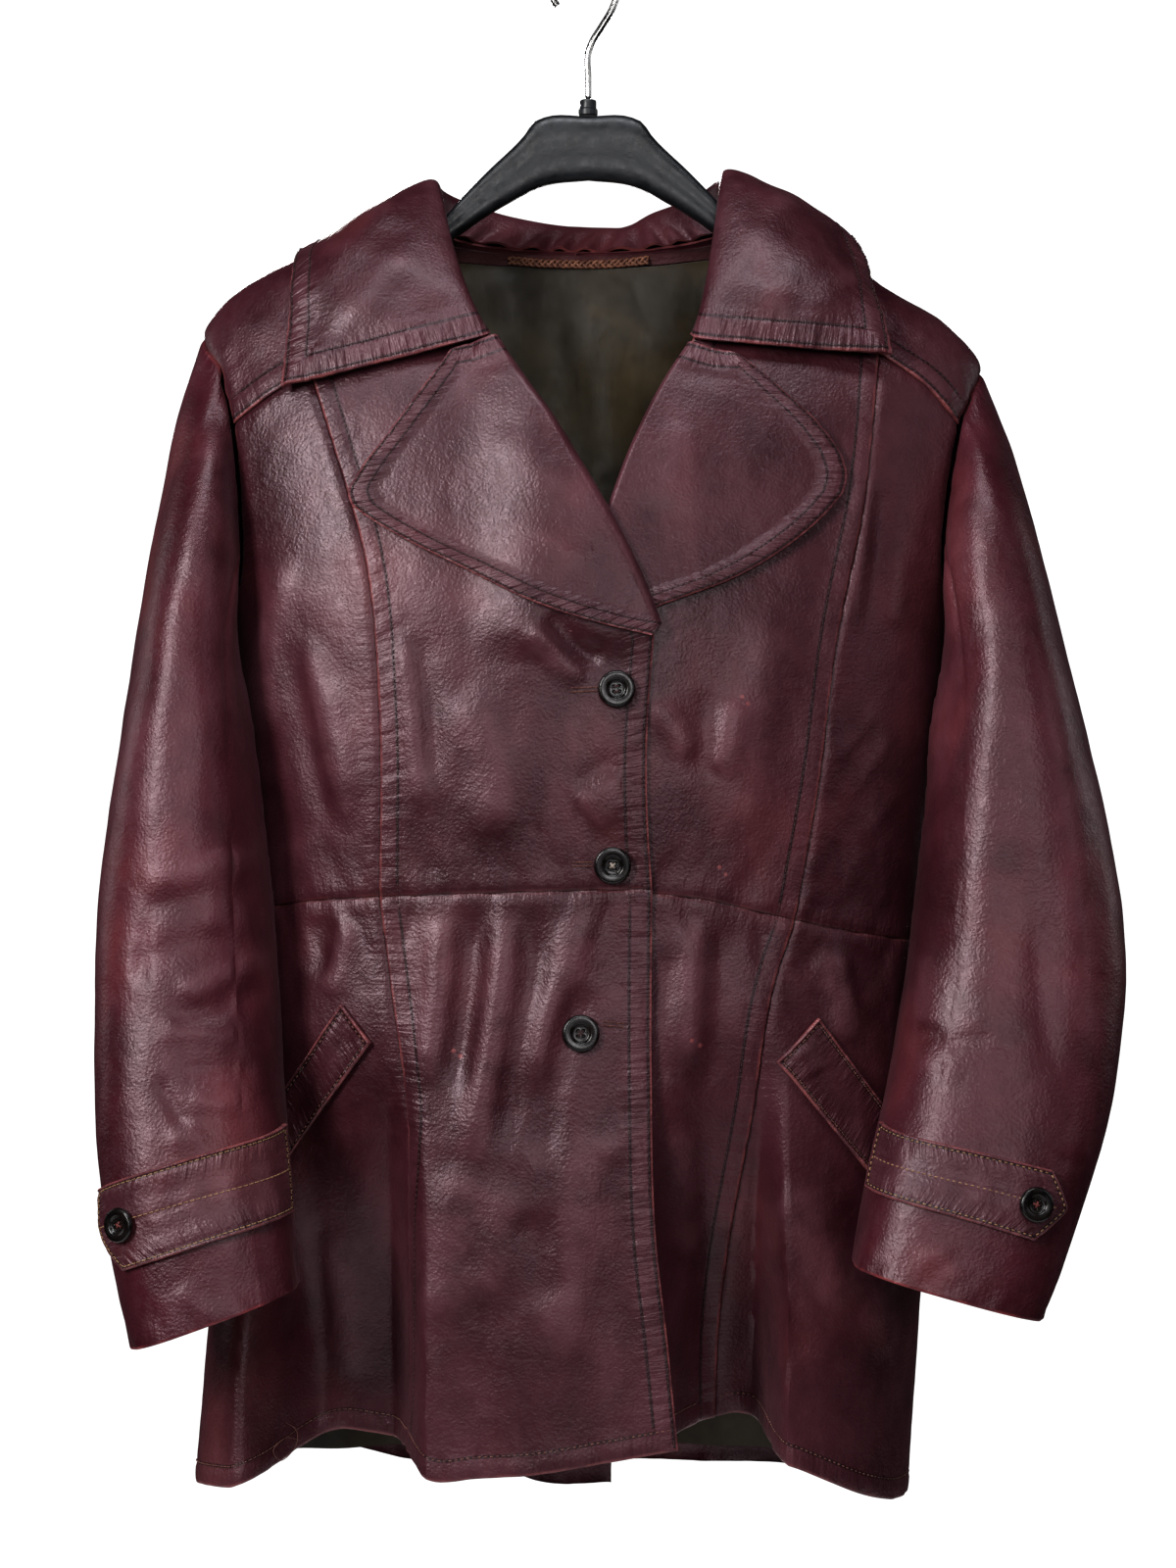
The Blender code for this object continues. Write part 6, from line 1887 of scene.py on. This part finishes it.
def plain(name, dark, light, rough, scale, metallic=0.0, depth=0.0003, coat=0.0):
    """A surface of two close tones with its own fine unevenness."""
    t = shader(name)
    colour = t.blend(t.ramp(t.noise(scale, 4, 0.6), 0.35, 0.65), dark, light)
    t.put(colour, t.surface.inputs["Base Color"])
    t.put(t.ramp(t.noise(scale * 3, 4, 0.6), 0.3, 0.7, *rough), t.surface.inputs["Roughness"])
    t.surface.inputs["Metallic"].default_value = metallic
    t.surface.inputs["Coat Weight"].default_value = coat
    t.links.new(t.bump(t.noise(scale * 6, 3, 0.6), depth, 0.4), t.surface.inputs["Normal"])
    return t.finish


def mark(x, z, side):
    """Where an old stitch hole sits on a front, in metres, with its size and strength."""
    places = np.array([[turn_at(x, z), z]])
    lift = body_relief(places, side) + (lap_lift(places) if side == "l" else 0)
    return tuple(skin(places, lift, side)[0] * MM), 0.0017, 0.6


# Where buttons once sat: small pale marks of old holes
STITCH_MARKS = tuple(mark(x, z, "r") for x, z in (
    (86.5, -441), (89.5, -445), (74, -537), (77.5, -541), (58, -634), (63, -637),
)) + tuple(mark(x, z, "l") for x, z in ((-76, -640), (-72, -643)))
FINISHES = {
    "body": leather(
        "worn_leather_front", (0.022, 0.0036, 0.0062, 1), (0.062, 0.0155, 0.0225, 1),
        (0.125, 0.050, 0.062, 1), (0.27, 0.075, 0.072, 1), 0.16, (0.30, 0.44),
        STITCH_MARKS,
    ),
    "sleeve": leather(
        "worn_leather_sleeve", (0.024, 0.0030, 0.0056, 1), (0.068, 0.0125, 0.0200, 1),
        (0.118, 0.042, 0.055, 1), (0.25, 0.05, 0.05, 1), 0.22, (0.30, 0.44),
        (((0.272, -0.09, -0.680), 0.022, 0.9), ((-0.255, -0.09, -0.66), 0.02, 0.5)),
    ),
    "inner": leather(
        "soft_inner_leather", (0.030, 0.009, 0.010, 1), (0.062, 0.020, 0.022, 1), (0.11, 0.05, 0.055, 1),
        (0.16, 0.05, 0.05, 1), 0.1, (0.4, 0.55),
    ),
    "satin": satin("creased_olive_satin"),
    "braid": plain(
        "frayed_brown_braid", (0.085, 0.028, 0.016, 1), (0.22, 0.095, 0.055, 1), (0.6, 0.8), 300,
        depth=0.0005,
    ),
    "horn": plain(
        "polished_dark_horn", (0.003, 0.002, 0.002, 1), (0.009, 0.006, 0.006, 1), (0.2, 0.3), 120,
        depth=0.00003,
    ),
    "plastic": plain(
        "moulded_black_plastic", (0.005, 0.0055, 0.007, 1), (0.011, 0.012, 0.015, 1), (0.32, 0.46), 60,
    ),
    "steel": plain(
        "bright_plated_steel", (0.55, 0.54, 0.53, 1), (0.72, 0.71, 0.7, 1), (0.12, 0.24), 90, 1.0, 0.0001,
    ),
    "thread": plain("thread_rust", (0.10, 0.03, 0.026, 1), (0.19, 0.08, 0.06, 1), (0.6, 0.8), 400),
    "thread_tan": plain("thread_tan", (0.20, 0.10, 0.05, 1), (0.33, 0.19, 0.10, 1), (0.6, 0.8), 400),
    "thread_dark": plain(
        "thread_dark", (0.020, 0.0045, 0.006, 1), (0.045, 0.011, 0.013, 1), (0.6, 0.8), 400,
    ),
    "thread_pale": plain("thread_pale", (0.24, 0.19, 0.16, 1), (0.36, 0.30, 0.26, 1), (0.6, 0.8), 400),
    "thread_red": plain("thread_red", (0.09, 0.018, 0.018, 1), (0.18, 0.04, 0.035, 1), (0.6, 0.8), 400),
}
SLOTS = dict.fromkeys((finish.name for finish in FINISHES.values()), "burgundy_leather")
SLOTS |= {
    "soft_inner_leather": "inner_leather", "creased_olive_satin": "olive_satin",
    "frayed_brown_braid": "brown_braid", "polished_dark_horn": "dark_horn",
    "moulded_black_plastic": "black_plastic", "bright_plated_steel": "plated_steel",
}

make_fronts()
make_backs()
make_sleeves()
make_tabs()
make_collar()
make_lapels()
make_welts()
make_inside()
make_buttons()
make_buttonholes()
make_loose_thread()
make_hanger()
add_threads({
    "body": FINISHES["thread_dark"], "hem": FINISHES["thread"], "collar": FINISHES["thread_dark"],
    "lapels": FINISHES["thread_dark"], "tabs": FINISHES["thread_tan"], "welts": FINISHES["thread"],
    "holes": FINISHES["thread"],
})

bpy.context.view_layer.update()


# Floor, lights and camera --------------------------------------------

FLOOR_Z = -1.3
FLOOR_RADIUS = 0.95
FLOOR_SIDES = 96
LENS = 75
SENSOR = 36
CAMERA_PLACE = (0, -1.933, -0.4901)
# each light's name, place, width, height, power and colour
LIGHTS = (
    ("key_left", (-1.6, -2.0, 0.45), 0.5, 1.2, 62, (1, 0.99, 0.985)),
    ("camera_fill", (0.3, -3.0, 0.1), 1.0, 0.9, 17, (1, 0.99, 0.99)),
    ("fill_right", (2.0, -1.3, 0.2), 0.6, 1.4, 4, (0.96, 0.98, 1)),
    ("top", (0.0, -1.0, 1.25), 1.5, 0.5, 20, (0.94, 0.97, 1)),
    ("low_fill", (0.2, -2.8, -1.0), 1.4, 0.4, 2, (1, 1, 1)),
    ("behind_left", (-0.42, 2.4, 0.1), 0.5, 1.0, 46, (1, 0.99, 0.985)),
    ("behind_right", (0.48, 2.6, -0.2), 0.45, 1.0, 22, (1, 1, 1)),
    ("side_left", (-2.6, 0.9, 0.1), 0.5, 1.2, 6, (1, 1, 1)),
    ("side_right", (2.6, 0.9, 0.1), 0.5, 1.2, 5, (1, 1, 1)),
)


def make_floor():
    """A round pale studio floor under the coat."""
    angle = np.arange(FLOOR_SIDES) * 2 * math.pi / FLOOR_SIDES
    rings = (
        (FLOOR_RADIUS, FLOOR_Z - 0.02), (FLOOR_RADIUS, FLOOR_Z - 0.004), (FLOOR_RADIUS - 0.006, FLOOR_Z),
    )
    points = [(r * math.cos(a), r * math.sin(a), z) for r, z in rings for a in angle]
    faces = [tuple(range(2 * FLOOR_SIDES, 3 * FLOOR_SIDES)), tuple(range(FLOOR_SIDES - 1, -1, -1))]
    faces += ring_quads(len(rings), FLOOR_SIDES, flip=True).tolist()
    mesh = bpy.data.meshes.new("studio_floor")
    mesh.from_pydata(points, [], faces)
    mesh.materials.append(
        plain("studio_floor", (0.62, 0.62, 0.62, 1), (0.68, 0.68, 0.68, 1), (0.6, 0.7), 3),
    )
    floor = bpy.data.objects.new("studio_floor", mesh)
    bpy.context.scene.collection.objects.link(floor)
    return floor


def add_light(name, place, aim, width, height, power, colour):
    """A soft rectangular light."""
    light = bpy.data.lights.new(name, "AREA")
    light.shape = "RECTANGLE"
    light.size, light.size_y = width, height
    light.energy = power
    light.color = colour
    lamp = bpy.data.objects.new(name, light)
    lamp.location = place
    lamp.rotation_euler = (aim - lamp.location).to_track_quat("-Z", "Y").to_euler()
    bpy.context.scene.collection.objects.link(lamp)
    return lamp


def studio_world():
    """A white surround that only shows behind the coat: the lights alone fall on it."""
    world = bpy.data.worlds.new("studio")
    world.use_nodes = True
    world.node_tree.nodes["Background"].inputs["Color"].default_value = (1, 1, 1, 1)
    world.cycles_visibility.diffuse = False
    world.cycles_visibility.glossy = False
    return world


low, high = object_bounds()
middle = (low + high) / 2
stage = [make_floor()]
for name, place, wide, tall, power, colour in LIGHTS:
    stage.append(add_light(name, place, middle, wide, tall, power, colour))
bpy.context.scene.world = studio_world()
bpy.context.scene.view_settings.view_transform = "Standard"
bpy.context.scene.view_settings.look = "Medium High Contrast"

lens = bpy.data.cameras.new("photo_camera")
lens.lens = LENS
lens.sensor_width = SENSOR
camera = bpy.data.objects.new("photo_camera", lens)
camera.location = CAMERA_PLACE
camera.rotation_euler = (math.pi / 2, 0, 0)
bpy.context.scene.collection.objects.link(camera)
bpy.context.scene.camera = camera
